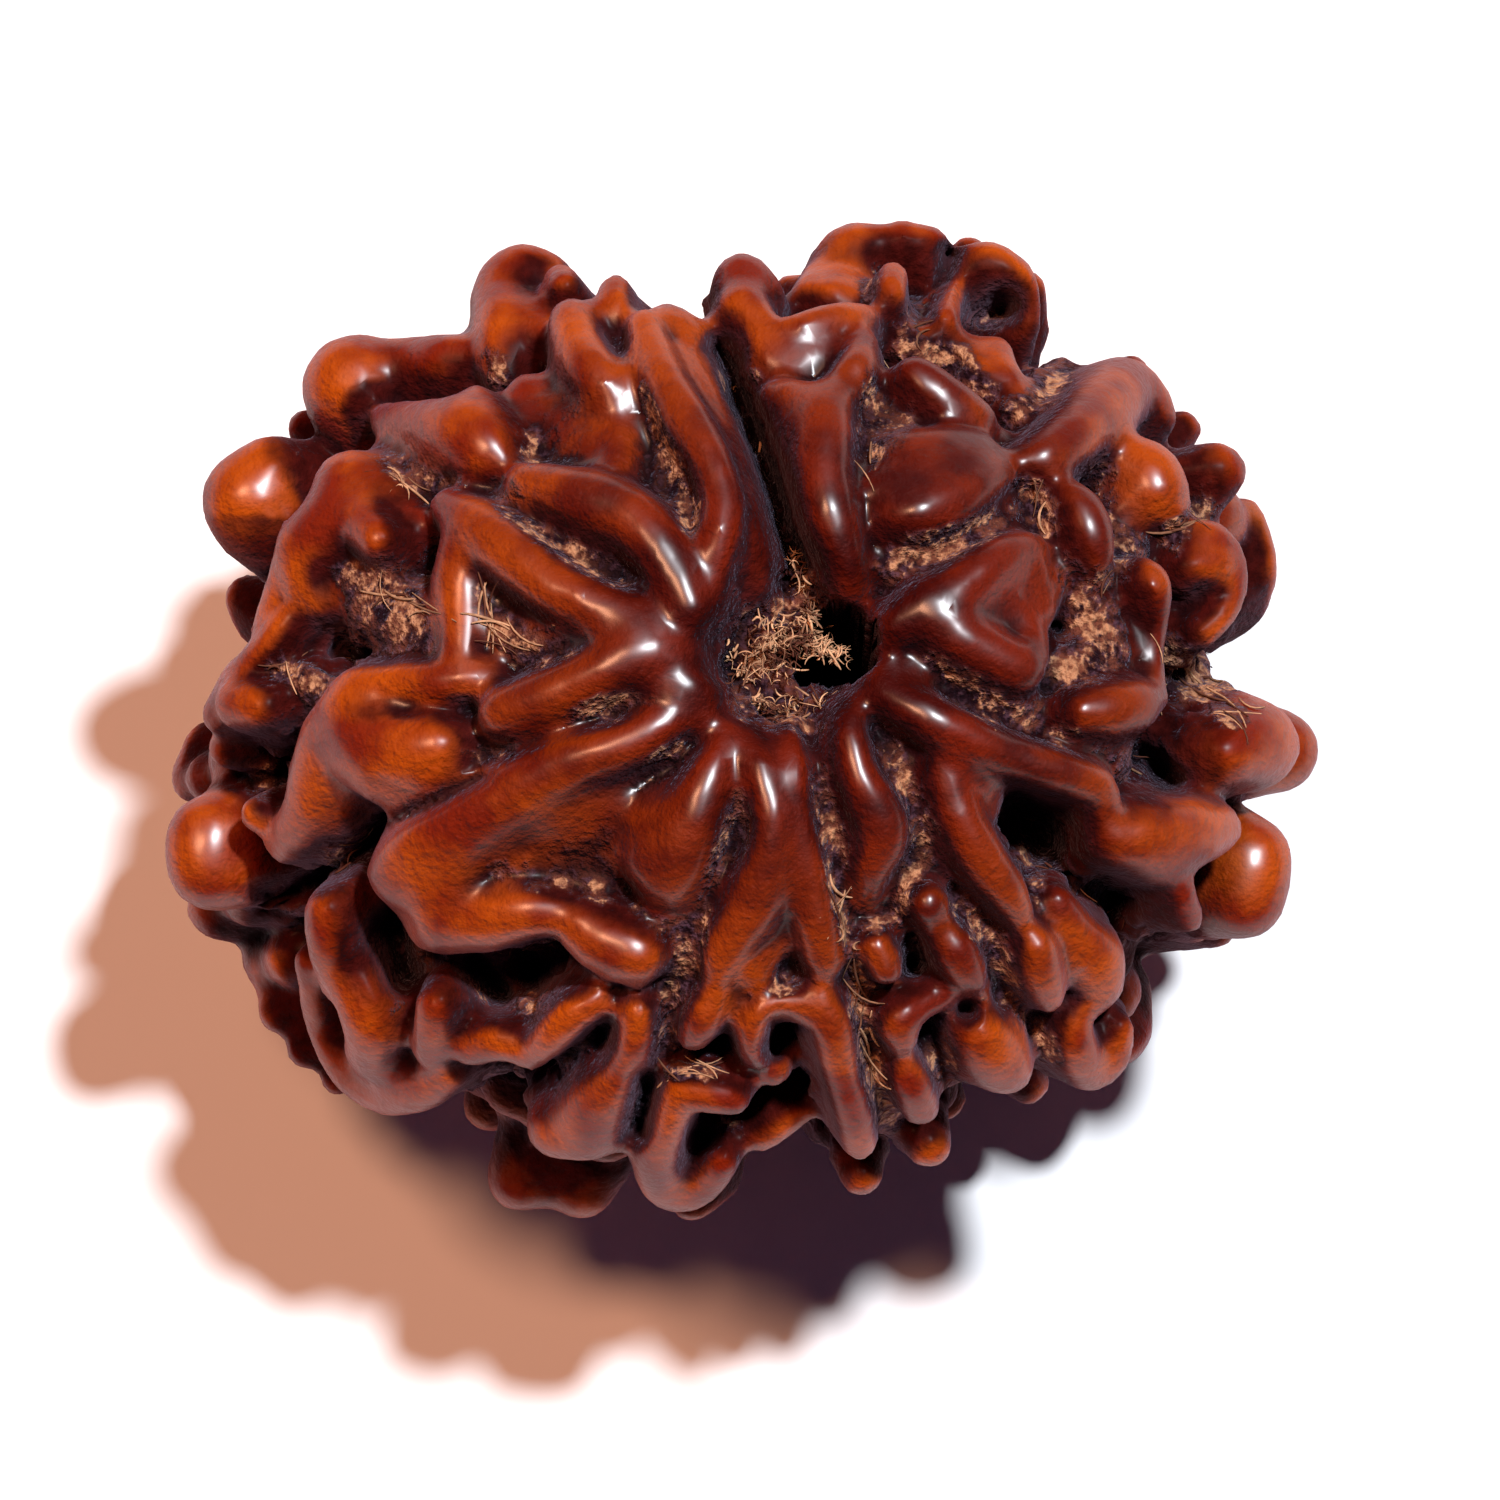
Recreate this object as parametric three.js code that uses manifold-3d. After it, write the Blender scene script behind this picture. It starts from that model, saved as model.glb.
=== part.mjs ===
// Rudraksha bead: one dried fruit stone, a deeply carved ball of ridges and knobs
// with a natural thread bore down its axis. Millimetres, +Z up along the bore,
// +X along the stone's longest side, origin under the middle of the stone at z = 0.
import * as THREE from 'three';
import { mergeVertices } from 'three/addons/utils/BufferGeometryUtils.js';
import Module from 'manifold-3d';

// Size of the envelope that the crests of the ridges touch.
const HALF_LENGTH = 15.0;
const HALF_WIDTH = 13.2;
const HALF_HEIGHT = 11.6;

// The valleys between the ridges lie this far below the crests.
const VALLEY_DEPTH = 2.9;
// A ridge widens by this much for each millimetre below its crest.
const FLANK_SLOPE = 0.22;

// Thread bore, from pole to pole.
const BORE_DIAMETER = 2.1;
const BORE_X = 2.3;
const BORE_Y = -0.1;
const BORE_SIDES = 12;

// The ridges of the upper side are placed as they are sighted from a point this far
// from the middle of the stone, this many degrees off the bore's axis, towards -Y.
const SIGHT_DISTANCE = 180;
const SIGHT_TILT = 12;
// Least height of a sighted rim knob above the sighting plane through the middle,
// and least depth below it for the rim knobs of the layer underneath.
const RIM_RISE = 1.6;
const RIM_FALL = 2.6;

// Skin of the stone: triangles are set out on a sphere, this many along each edge
// of an icosahedron, and each corner averages the relief over a small patch.
const SKIN_STEPS = 23;
const PATCH_RADIUS = 0.26;
const PATCH_SAMPLES = 6;
// Corners that fall on a wall move off it in steps, to the crest above or the valley below.
const WALL_STEP = 0.12;
const WALL_STEPS = 2;
const WALL_SLOPE = 0.5;
// Share of the way that each corner then moves to the middle of its neighbours.
const EASING = 0.45;
// Columns further off than this share of a straight line don't reach a corner.
const NEAR_SHARE = 0.94;
// Spacing of the columns that make up a ridge.
const COLUMN_SPACING = 0.3;

// The stone lies on three low knobs round its weight, rubbed flat by this much.
const FOOT_RADIUS = 1.15;
const FOOT_REACH = HALF_HEIGHT;
const FOOT_WEAR = 0.3;
const FEET = [[-4.2, -2.8], [4.8, -2.9], [0.4, 4.6]];

// Hidden underside: lobed segments, as many as on the side that shows.
const SEGMENTS = 13;
const RIM_KNOBS = 3;
// Rows of knobs round the rim: slope away from straight down and drop below the envelope.
const RIM_ROWS = [[1.36, 0.1], [1.52, 0.2], [1.68, 1.1]];
const SEED = 4187;
// Hidden columns keep this far off the sighted ones.
const HIDDEN_GAP = 0.45;
// Hidden columns that would show past the outline of the sighted ones are sunk in these
// steps. The outline is taken in this many directions, and each column's edge at a few points.
const OUTLINE_STEPS = 180;
const EDGE_POINTS = 12;
const OUTLINE_GAP = 0.1;
const SINK_STEP = 0.25;
const SINK_STEPS = 14;

// A ridge is a list of places [across, up, half width, drop below the envelope],
// in millimetres on the sighting plane. Crests run smoothly from place to place.
const UPPER_LEFT = [
  [[-12.75, 5.7, 1.25, 0], [-12.3, 6.3, 1.0, 0.2], [-11.9, 6.7, 0.6, 0.5]],
  [[-12.8, 5.0, 0.75, 0.4]],
  [[-10.05, 8.65, 1.35, 0], [-9.3, 8.9, 0.95, 0.3], [-8.4, 9.15, 0.75, 0.5], [-7.6, 9.3, 0.7, 0.6]],
  [[-9.2, 7.8, 0.45, 0.9], [-8.2, 7.7, 0.6, 0.5], [-7.2, 7.4, 0.85, 0.1], [-6.6, 7.0, 0.75, 0.2]],
  [[-6.9, 8.2, 0.5, 0.4], [-6.75, 7.6, 0.7, 0.2]],
  [[-6.2, 9.4, 0.6, 0.9], [-6.15, 10.2, 0.65, 0.4], [-6.15, 11.0, 0.8, 0.05], [-5.8, 11.6, 0.7, 0.05],
    [-5.1, 11.75, 0.45, 0.15], [-4.6, 11.3, 0.42, 0.1]],
  [[-5.3, 10.8, 0.6, 0.6], [-5.2, 9.9, 0.6, 0.9]],
  [[-4.4, 10.35, 0.58, 0], [-4.25, 9.7, 0.62, 0.1], [-3.9, 9.1, 0.6, 0.1], [-3.5, 8.6, 0.6, 0.3],
    [-3.15, 7.9, 0.5, 0.8], [-3.2, 7.0, 0.55, 0.9], [-3.3, 6.4, 0.6, 0.8]],
  [[-5.2, 8.1, 0.8, 1.2], [-4.4, 7.4, 0.85, 1.2], [-3.8, 6.9, 0.8, 1.1]],
  [[-3.3, 11.2, 0.38, 0], [-3.25, 10.6, 0.42, 0.2], [-3.1, 10.0, 0.42, 0.8]],
  [[-5.6, 8.5, 0.5, 0.9], [-5.5, 7.6, 0.55, 1.2]],
  [[-10.2, 6.1, 0.85, 0.1], [-10.45, 5.2, 0.75, 0.1], [-11.1, 4.5, 0.85, 0.1],
    [-11.2, 3.7, 0.6, 0.5], [-10.8, 3.1, 0.5, 0.9]],
  [[-11.6, 4.2, 0.55, 0.3], [-12.0, 3.3, 0.4, 0.6], [-12.3, 2.4, 0.4, 0.7]],
  [[-10.0, 5.5, 0.7, 0.3], [-9.4, 4.7, 0.5, 0.1]],
  [[-9.8, 6.2, 0.7, 0.3], [-8.9, 5.6, 0.5, 0.8], [-8.3, 5.0, 0.45, 1.1]],
  [[-7.6, 5.6, 0.45, 0.5], [-6.9, 5.1, 0.6, 0.2], [-5.9, 4.3, 0.65, 0], [-4.9, 3.5, 0.6, 0],
    [-3.8, 2.95, 0.6, 0.1], [-2.9, 2.5, 0.65, 0.2], [-2.0, 2.0, 0.6, 0.4]],
  [[-5.0, 2.75, 0.5, 1.1], [-4.0, 2.35, 0.55, 0.8], [-2.9, 2.05, 0.5, 0.6]],
  [[-7.0, 4.9, 0.6, 0.4], [-7.3, 3.8, 0.65, 0.6], [-7.2, 2.7, 0.6, 0.7], [-7.3, 1.8, 0.5, 0.6]],
  [[-6.6, 3.9, 0.5, 0.9], [-6.2, 3.0, 0.5, 1.4]],
  [[-5.6, 6.2, 0.5, 0.4], [-4.8, 6.0, 0.6, 0.2], [-3.9, 5.7, 0.7, 0], [-3.0, 5.3, 0.7, 0],
    [-2.3, 4.7, 0.65, 0], [-1.75, 3.8, 0.55, 0.1], [-1.35, 3.0, 0.55, 0.2]],
];

const TOP = [
  [[-2.55, 10.25, 0.42, 0.1], [-2.3, 9.5, 0.5, 0.1], [-1.9, 8.6, 0.5, 0], [-1.3, 7.6, 0.55, 0],
    [-0.8, 6.7, 0.5, 0], [-0.5, 5.7, 0.5, 0.1], [-0.55, 4.9, 0.5, 0.1], [-0.75, 4.0, 0.45, 0.4],
    [-0.9, 3.1, 0.45, 0.7]],
  [[-1.95, 10.2, 0.6, 0.4], [-1.35, 9.7, 0.6, 0.7], [-1.1, 8.6, 0.5, 0.7], [-0.6, 7.6, 0.45, 0.9],
    [-0.2, 6.5, 0.45, 1.0], [0.1, 5.4, 0.5, 1.0], [0.2, 4.4, 0.55, 1.2], [0.2, 3.5, 0.5, 1.7]],
  [[0.0, 11.45, 0.68, 0], [0.6, 11.0, 0.5, 0.5]],
  [[0.0, 10.75, 0.6, 0.2], [0.5, 10.1, 0.5, 0.5], [0.8, 9.3, 0.5, 0.8]],
  [[0.9, 9.9, 0.45, 0.6], [1.6, 10.15, 0.45, 0.3], [2.4, 10.45, 0.42, 0.2], [3.1, 10.45, 0.4, 0.4]],
  [[1.3, 9.2, 0.6, 0.8], [2.1, 9.5, 0.6, 0.7]],
  [[3.15, 9.8, 0.35, 0.5], [2.95, 9.1, 0.5, 0.1], [2.6, 8.6, 0.5, 0.3], [2.1, 7.9, 0.65, 0.1],
    [2.1, 7.1, 0.65, 0], [2.1, 6.3, 0.6, 0], [2.3, 5.3, 0.6, 0.1], [2.6, 4.4, 0.5, 0.5],
    [2.8, 3.5, 0.4, 1.1]],
  [[0.9, 8.4, 0.45, 0.8], [1.5, 8.1, 0.6, 0.5], [1.5, 7.2, 0.5, 0.7], [1.6, 6.2, 0.45, 0.9]],
  [[3.1, 6.2, 0.4, 0.9], [3.1, 5.3, 0.4, 0.9]],
  [[3.9, 11.55, 0.35, 0], [3.85, 11.0, 0.38, 0.2], [3.8, 10.4, 0.32, 0.9]],
  [[4.2, 12.45, 0.5, 0], [4.25, 11.9, 0.42, 0.5]],
  [[4.85, 12.35, 0.5, 0.8], [5.0, 11.7, 0.45, 1.0]],
  [[2.9, 12.2, 0.75, 0.6], [3.5, 12.45, 0.6, 0.6]],
  [[2.2, 11.5, 0.6, 0.7], [1.8, 11.0, 0.5, 0.9]],
  [[2.9, 11.4, 0.6, 0.9]],
  [[4.5, 8.9, 0.55, 0.1], [5.0, 8.45, 0.6, 0.2], [5.6, 8.05, 0.6, 0.4], [6.1, 7.75, 0.5, 0.6]],
  [[6.5, 9.5, 0.5, 0.9], [6.8, 8.8, 0.45, 1.0]],
  [[5.2, 10.4, 0.4, 0.6], [5.35, 11.1, 0.45, 0.4], [5.85, 11.75, 0.55, 0.1], [6.5, 11.85, 0.55, 0],
    [7.1, 11.45, 0.5, 0.1], [7.35, 10.9, 0.4, 0.3], [7.4, 10.3, 0.32, 0.8]],
];

const RIGHT = [
  [[7.75, 6.75, 0.6, 0.1], [8.4, 7.25, 0.65, 0], [9.2, 8.0, 0.75, 0], [9.85, 8.55, 0.85, 0],
    [10.7, 7.9, 0.55, 0.5]],
  [[12.35, 6.5, 0.68, 0.5]],
  [[10.45, 6.4, 0.85, 0], [10.65, 6.0, 0.85, 0]],
  [[11.5, 6.5, 0.45, 0.6]],
  [[8.6, 5.55, 0.6, 0.1], [8.95, 4.9, 0.62, 0], [9.1, 4.2, 0.5, 0.3]],
  [[11.5, 4.5, 0.45, 0.5], [12.0, 4.75, 0.5, 0.1], [12.5, 4.35, 0.5, 0], [12.7, 3.6, 0.4, 0.2],
    [12.4, 2.8, 0.38, 0.5], [11.9, 2.3, 0.35, 0.9]],
  [[11.6, 4.0, 0.5, 0.4], [12.2, 4.1, 0.5, 0.1]],
  [[10.35, 3.85, 0.42, 0.3], [10.6, 3.5, 0.52, 0], [10.7, 2.9, 0.4, 0.4], [10.6, 2.1, 0.33, 0.8],
    [10.6, 1.3, 0.33, 0.8], [10.6, 0.6, 0.42, 0.5]],
  [[10.2, 0.45, 0.6, 0.1], [9.5, 0.3, 0.65, 0], [8.8, 0.25, 0.5, 0.1]],
  [[12.4, -0.8, 0.7, 0.3], [13.1, -0.55, 1.1, 0], [13.3, -0.6, 1.1, 0]],
  [[3.9, 5.3, 0.5, 0.3], [4.6, 5.4, 0.62, 0], [5.5, 5.8, 0.62, 0], [6.3, 6.25, 0.5, 0.2],
    [6.9, 6.6, 0.35, 0.6]],
  [[3.7, 5.9, 0.6, 0.4], [4.8, 6.3, 0.7, 0.15], [5.9, 6.7, 0.6, 0.25]],
  [[4.1, 6.8, 0.6, 0.4], [5.2, 7.0, 0.6, 0.35], [6.1, 7.0, 0.5, 0.45]],
  [[4.0, 2.5, 0.45, 0.5], [4.8, 2.95, 0.6, 0.1], [5.6, 3.4, 0.6, 0], [6.3, 3.95, 0.55, 0],
    [7.0, 4.4, 0.5, 0.25], [7.5, 4.5, 0.4, 0.5]],
  [[4.9, 2.8, 0.6, 0.1], [5.6, 2.2, 0.62, 0], [6.4, 1.75, 0.62, 0], [7.15, 1.35, 0.58, 0.05]],
  [[6.2, 2.9, 0.6, 0.6], [6.9, 2.7, 0.6, 0.75], [7.4, 2.3, 0.5, 0.6], [7.5, 1.7, 0.45, 0.25]],
  [[6.6, 3.4, 0.6, 0.6], [7.2, 3.4, 0.6, 0.8], [7.5, 3.9, 0.45, 0.6]],
  [[7.7, 2.9, 0.4, 0.8], [8.0, 3.7, 0.4, 1.0]],
  [[3.5, 0.9, 0.38, 0.8], [4.2, 0.45, 0.48, 0.3], [5.0, 0.0, 0.52, 0], [5.8, -0.4, 0.52, 0],
    [7.0, -0.9, 0.48, 0.1], [8.2, -1.3, 0.5, 0.1], [9.2, -1.7, 0.5, 0.2], [9.3, -2.3, 0.45, 0.4],
    [9.6, -3.0, 0.6, 0.2], [10.6, -3.0, 0.85, 0], [11.6, -2.85, 0.8, 0.1], [12.4, -2.75, 0.55, 0.3]],
  [[3.7, 1.4, 0.4, 1.0], [4.5, 1.0, 0.4, 0.9]],
  [[10.2, -2.5, 0.5, 0.3], [10.6, -3.4, 0.75, 0.2], [11.3, -3.4, 0.5, 0.3]],
  [[5.2, -1.2, 0.5, 0.4], [5.6, -2.4, 0.55, 0.2], [6.2, -3.5, 0.55, 0.1], [6.8, -4.3, 0.5, 0.1],
    [7.15, -4.9, 0.38, 0.3]],
  [[5.9, -1.3, 0.5, 0.6], [6.3, -2.1, 0.45, 0.9]],
  [[13.15, -3.6, 1.1, 0], [13.0, -4.6, 1.0, 0]],
  [[11.35, -4.4, 0.38, 0.1], [11.6, -5.1, 0.34, 0.15]],
];

const LOWER_RIGHT = [
  [[7.6, -5.8, 0.48, 0], [7.72, -6.5, 0.56, 0], [7.95, -7.1, 0.4, 0.2]],
  [[8.1, -4.6, 0.38, 0.7], [8.6, -5.4, 0.55, 0.5], [9.1, -6.2, 0.75, 0.3], [9.15, -6.9, 0.6, 0.4]],
  [[8.5, -7.7, 0.45, 0.3], [8.6, -8.4, 0.55, 0], [9.0, -8.95, 0.58, 0], [9.6, -8.6, 0.48, 0],
    [9.8, -7.9, 0.32, 0.25]],
  [[4.8, -4.7, 0.5, 0.2], [5.05, -5.25, 0.33, 0.5], [5.5, -5.9, 0.52, 0.1], [5.9, -6.6, 0.42, 0.2]],
  [[6.1, -7.0, 0.3, 0.7], [5.3, -7.0, 0.35, 0.6], [4.6, -7.3, 0.4, 0.4], [4.05, -7.7, 0.5, 0.1],
    [4.15, -8.2, 0.36, 0.2]],
  [[3.45, -5.8, 0.42, 0.3], [3.75, -6.4, 0.4, 0.1]],
  [[4.2, -8.95, 0.42, 0.2], [4.4, -9.4, 0.5, 0], [4.65, -10.0, 0.46, 0.1]],
  [[4.85, -10.95, 0.58, 0.3]],
  [[5.95, -7.9, 0.6, 0.2], [6.4, -8.4, 0.82, 0], [6.85, -8.95, 0.65, 0.1]],
  [[2.0, -7.2, 0.5, 0.3], [2.3, -7.8, 0.5, 0.1], [2.5, -8.8, 0.45, 0.1], [2.85, -10.0, 0.42, 0],
    [3.05, -10.9, 0.42, 0]],
  [[3.1, -11.75, 0.52, 0.4]],
  [[2.0, -7.3, 0.5, 0.4], [1.1, -7.35, 0.4, 0.3], [0.45, -7.6, 0.38, 0.2], [0.3, -8.2, 0.34, 0.2],
    [0.4, -8.7, 0.3, 0.5]],
  [[0.8, -8.95, 0.45, 0.8]],
  [[2.75, 0.4, 0.35, 0.9], [2.8, -0.4, 0.4, 0.4], [3.0, -1.3, 0.45, 0.1], [3.4, -2.15, 0.55, 0],
    [3.65, -2.9, 0.6, 0.1], [3.35, -3.7, 0.5, 0.4], [3.25, -4.4, 0.36, 0.9]],
];

const LOWER_LEFT = [
  [[-6.2, 0.25, 0.58, 0.1], [-5.2, 0.6, 0.6, 0], [-4.0, 1.1, 0.6, 0], [-2.9, 1.65, 0.65, 0],
    [-2.2, 1.75, 0.6, 0.2], [-1.5, 1.7, 0.5, 0.7]],
  [[-2.8, 0.45, 0.35, 1.0], [-1.95, 0.85, 0.45, 0.4], [-1.35, 0.85, 0.5, 0.5], [-1.0, 0.6, 0.4, 0.8]],
  [[-1.2, 0.35, 0.4, 0.7], [-2.1, -0.05, 0.5, 0.3], [-3.0, -0.6, 0.55, 0.1], [-4.1, -0.95, 0.6, 0],
    [-5.2, -1.45, 0.65, 0], [-6.3, -2.1, 0.75, 0], [-7.3, -2.7, 0.85, 0], [-8.3, -3.2, 0.9, 0],
    [-8.8, -3.9, 0.8, 0.2]],
  [[-5.4, -2.4, 0.7, 0.7], [-4.4, -2.1, 0.75, 0.8], [-3.4, -1.9, 0.7, 1.0], [-2.6, -1.5, 0.4, 1.3]],
  [[-5.8, -3.1, 0.8, 0.9], [-4.6, -3.1, 0.75, 1.2], [-3.5, -3.0, 0.7, 1.3]],
  [[-7.3, -3.2, 0.9, 0.3], [-7.7, -4.2, 1.0, 0.2], [-7.9, -5.1, 0.8, 0.4]],
  [[-7.9, -5.0, 0.8, 0.4], [-6.9, -5.1, 0.75, 0.2], [-5.7, -4.9, 0.65, 0.2], [-4.6, -5.0, 0.5, 0.4],
    [-3.5, -5.7, 0.75, 0.1], [-2.7, -6.0, 0.68, 0]],
  [[-0.4, -0.3, 0.3, 0.9], [-0.8, -1.3, 0.48, 0.3], [-1.2, -2.3, 0.65, 0.1], [-1.6, -3.3, 0.75, 0.1],
    [-1.85, -4.0, 0.75, 0.3]],
  [[-1.6, -1.8, 0.45, 0.8], [-2.1, -2.7, 0.65, 0.5], [-2.35, -3.6, 0.65, 0.4]],
  [[0.1, -0.5, 0.4, 1.0], [0.45, -1.2, 0.35, 0.4], [0.7, -2.2, 0.4, 0.1], [0.75, -3.1, 0.45, 0],
    [0.55, -4.0, 0.6, 0.1], [0.15, -4.9, 0.65, 0.2], [-0.35, -5.7, 0.55, 0.2],
    [-0.6, -6.4, 0.4, 0.3]],
  [[1.0, -4.6, 0.4, 0.9], [0.8, -5.6, 0.4, 0.9], [0.3, -6.4, 0.4, 0.5]],
  [[1.2, -0.5, 0.3, 1.0], [1.35, -1.3, 0.3, 0.5], [1.35, -2.2, 0.36, 0.4], [1.55, -3.3, 0.42, 0.3],
    [1.8, -4.4, 0.45, 0.3], [1.95, -5.3, 0.52, 0.2], [2.15, -6.1, 0.5, 0.3]],
  [[-0.75, -7.1, 0.38, 0.3], [-1.0, -7.7, 0.42, 0.1], [-1.25, -8.15, 0.36, 0.3]],
  [[-1.6, -9.5, 0.48, 0.2], [-2.0, -10.5, 0.52, 0], [-2.2, -11.4, 0.58, 0], [-1.75, -12.05, 0.62, 0],
    [-0.95, -11.95, 0.45, 0.1], [-0.5, -11.35, 0.4, 0.3]],
  [[-1.6, -9.5, 0.48, 0.2], [-0.9, -9.6, 0.48, 0.1], [-0.25, -9.75, 0.42, 0.1]],
  [[0.5, -10.6, 0.5, 1.0], [1.3, -10.1, 0.45, 1.3]],
  [[-3.8, -7.2, 0.42, 0.4], [-4.4, -7.6, 0.45, 0.1], [-5.0, -8.2, 0.42, 0.1], [-5.5, -8.7, 0.3, 0.4]],
  [[-2.7, -7.5, 0.38, 0.2], [-2.75, -8.2, 0.42, 0.1], [-3.1, -9.1, 0.5, 0.1], [-3.7, -9.8, 0.75, 0],
    [-4.0, -10.3, 0.8, 0]],
  [[-3.9, -10.5, 0.75, 0], [-4.75, -10.5, 0.75, 0]],
  [[-7.0, -8.4, 0.5, 0.4], [-6.2, -8.2, 0.5, 0.4], [-5.6, -8.5, 0.4, 0.6]],
  [[-7.9, -7.3, 0.5, 0.1], [-8.0, -7.9, 0.5, 0.1], [-8.0, -8.5, 0.5, 0.3]],
  [[-9.8, -6.9, 0.72, 0.2], [-9.5, -7.7, 0.75, 0], [-9.5, -8.5, 0.7, 0.1]],
  [[-10.7, -4.9, 0.6, 0.1], [-10.6, -5.7, 0.62, 0.1], [-10.4, -6.7, 0.55, 0.4]],
  [[-11.2, -6.2, 0.4, 0.6], [-10.8, -7.6, 0.55, 0.4], [-10.2, -8.8, 0.6, 0.2], [-9.3, -9.4, 0.68, 0],
    [-8.3, -9.4, 0.62, 0.1], [-7.6, -9.0, 0.5, 0.4]],
  [[-13.9, -3.0, 1.0, 0], [-13.85, -3.8, 1.0, 0]],
  [[-12.6, -2.4, 0.42, 0.7]],
  [[-9.9, 0.2, 1.0, 0.1], [-9.4, -0.5, 1.1, 0], [-8.4, -0.8, 0.95, 0], [-7.6, -0.6, 0.6, 0.3]],
  [[-9.9, 0.5, 0.8, 0.3], [-9.0, 1.0, 0.45, 0.4], [-7.6, 1.05, 0.45, 0.4], [-6.6, 1.2, 0.45, 0.8]],
  [[-8.4, 0.4, 0.6, 0.8]],
  [[-9.5, -0.8, 1.0, 0.1], [-9.0, -1.5, 0.6, 0.5]],
  [[-10.5, -0.3, 0.8, 0.4], [-10.8, -1.3, 0.8, 0.6], [-11.1, -2.3, 0.7, 0.8],
    [-11.8, -3.1, 0.55, 1.0]],
  [[-10.2, -1.5, 0.7, 0.9], [-10.4, -2.4, 0.6, 1.2]],
  [[-13.05, 0.45, 0.6, 0], [-12.4, 0.4, 0.55, 0.2]],
  [[-13.5, 0.2, 0.5, 0.3], [-13.1, 1.1, 0.4, 0.4], [-12.3, 1.9, 0.4, 0.5], [-11.7, 2.6, 0.45, 0.7]],
  [[-13.4, -0.7, 0.45, 0.7]],
];

// Knobs of the layer underneath, seen past the edge of the upper ones.
const UNDER_RIM = [
  [[-11.3, 7.6, 0.5, 0]],
  [[-12.8, 3.2, 0.6, 0], [-12.6, 2.5, 0.5, 0.3]],
  [[-14.2, -1.5, 0.6, 0], [-13.9, -0.5, 0.5, 0.2]],
  [[-13.6, -4.8, 0.75, 0], [-13.0, -5.2, 0.5, 0.2]],
  [[-12.2, -6.2, 0.7, 0], [-11.7, -6.6, 0.5, 0.3]],
  [[-12.0, -7.5, 0.55, 0]],
  [[-11.3, -8.5, 0.5, 0]],
  [[-10.5, -9.3, 0.4, 0]],
  [[-6.5, -9.9, 0.7, 0]],
  [[-5.6, -11.85, 0.85, 0], [-4.8, -12.0, 0.8, 0], [-4.05, -12.15, 0.7, 0]],
  [[-1.3, -12.4, 0.55, 0], [-0.5, -11.9, 0.45, 0.3]],
  [[7.4, -9.35, 0.55, 0.2]],
  [[5.3, -9.8, 0.5, 0.6]],
  [[10.0, -6.9, 0.6, 0.2], [9.9, -7.9, 0.7, 0], [9.8, -8.4, 0.5, 0.2]],
  [[10.3, -5.6, 0.45, 0.6], [11.3, -5.45, 0.5, 0.3], [12.3, -5.35, 0.5, 0.2]],
  [[13.85, -0.75, 1.08, 0]],
  [[13.0, 5.3, 0.5, 0.2], [13.35, 4.2, 0.52, 0], [13.15, 3.1, 0.5, 0.2], [12.6, 2.5, 0.4, 0.5]],
  [[11.4, 7.6, 0.5, 0.2]],
  [[10.1, 9.0, 0.5, 0.3]],
  [[7.4, 11.2, 0.5, 0], [7.6, 10.1, 0.35, 0.5]],
  [[5.9, 12.1, 0.5, 0.2]],
  [[1.2, 11.2, 0.4, 1.2]],
  [[-5.2, 11.2, 0.6, 0.2]],
  [[-8.0, 9.45, 0.5, 0.6]],
];

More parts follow.
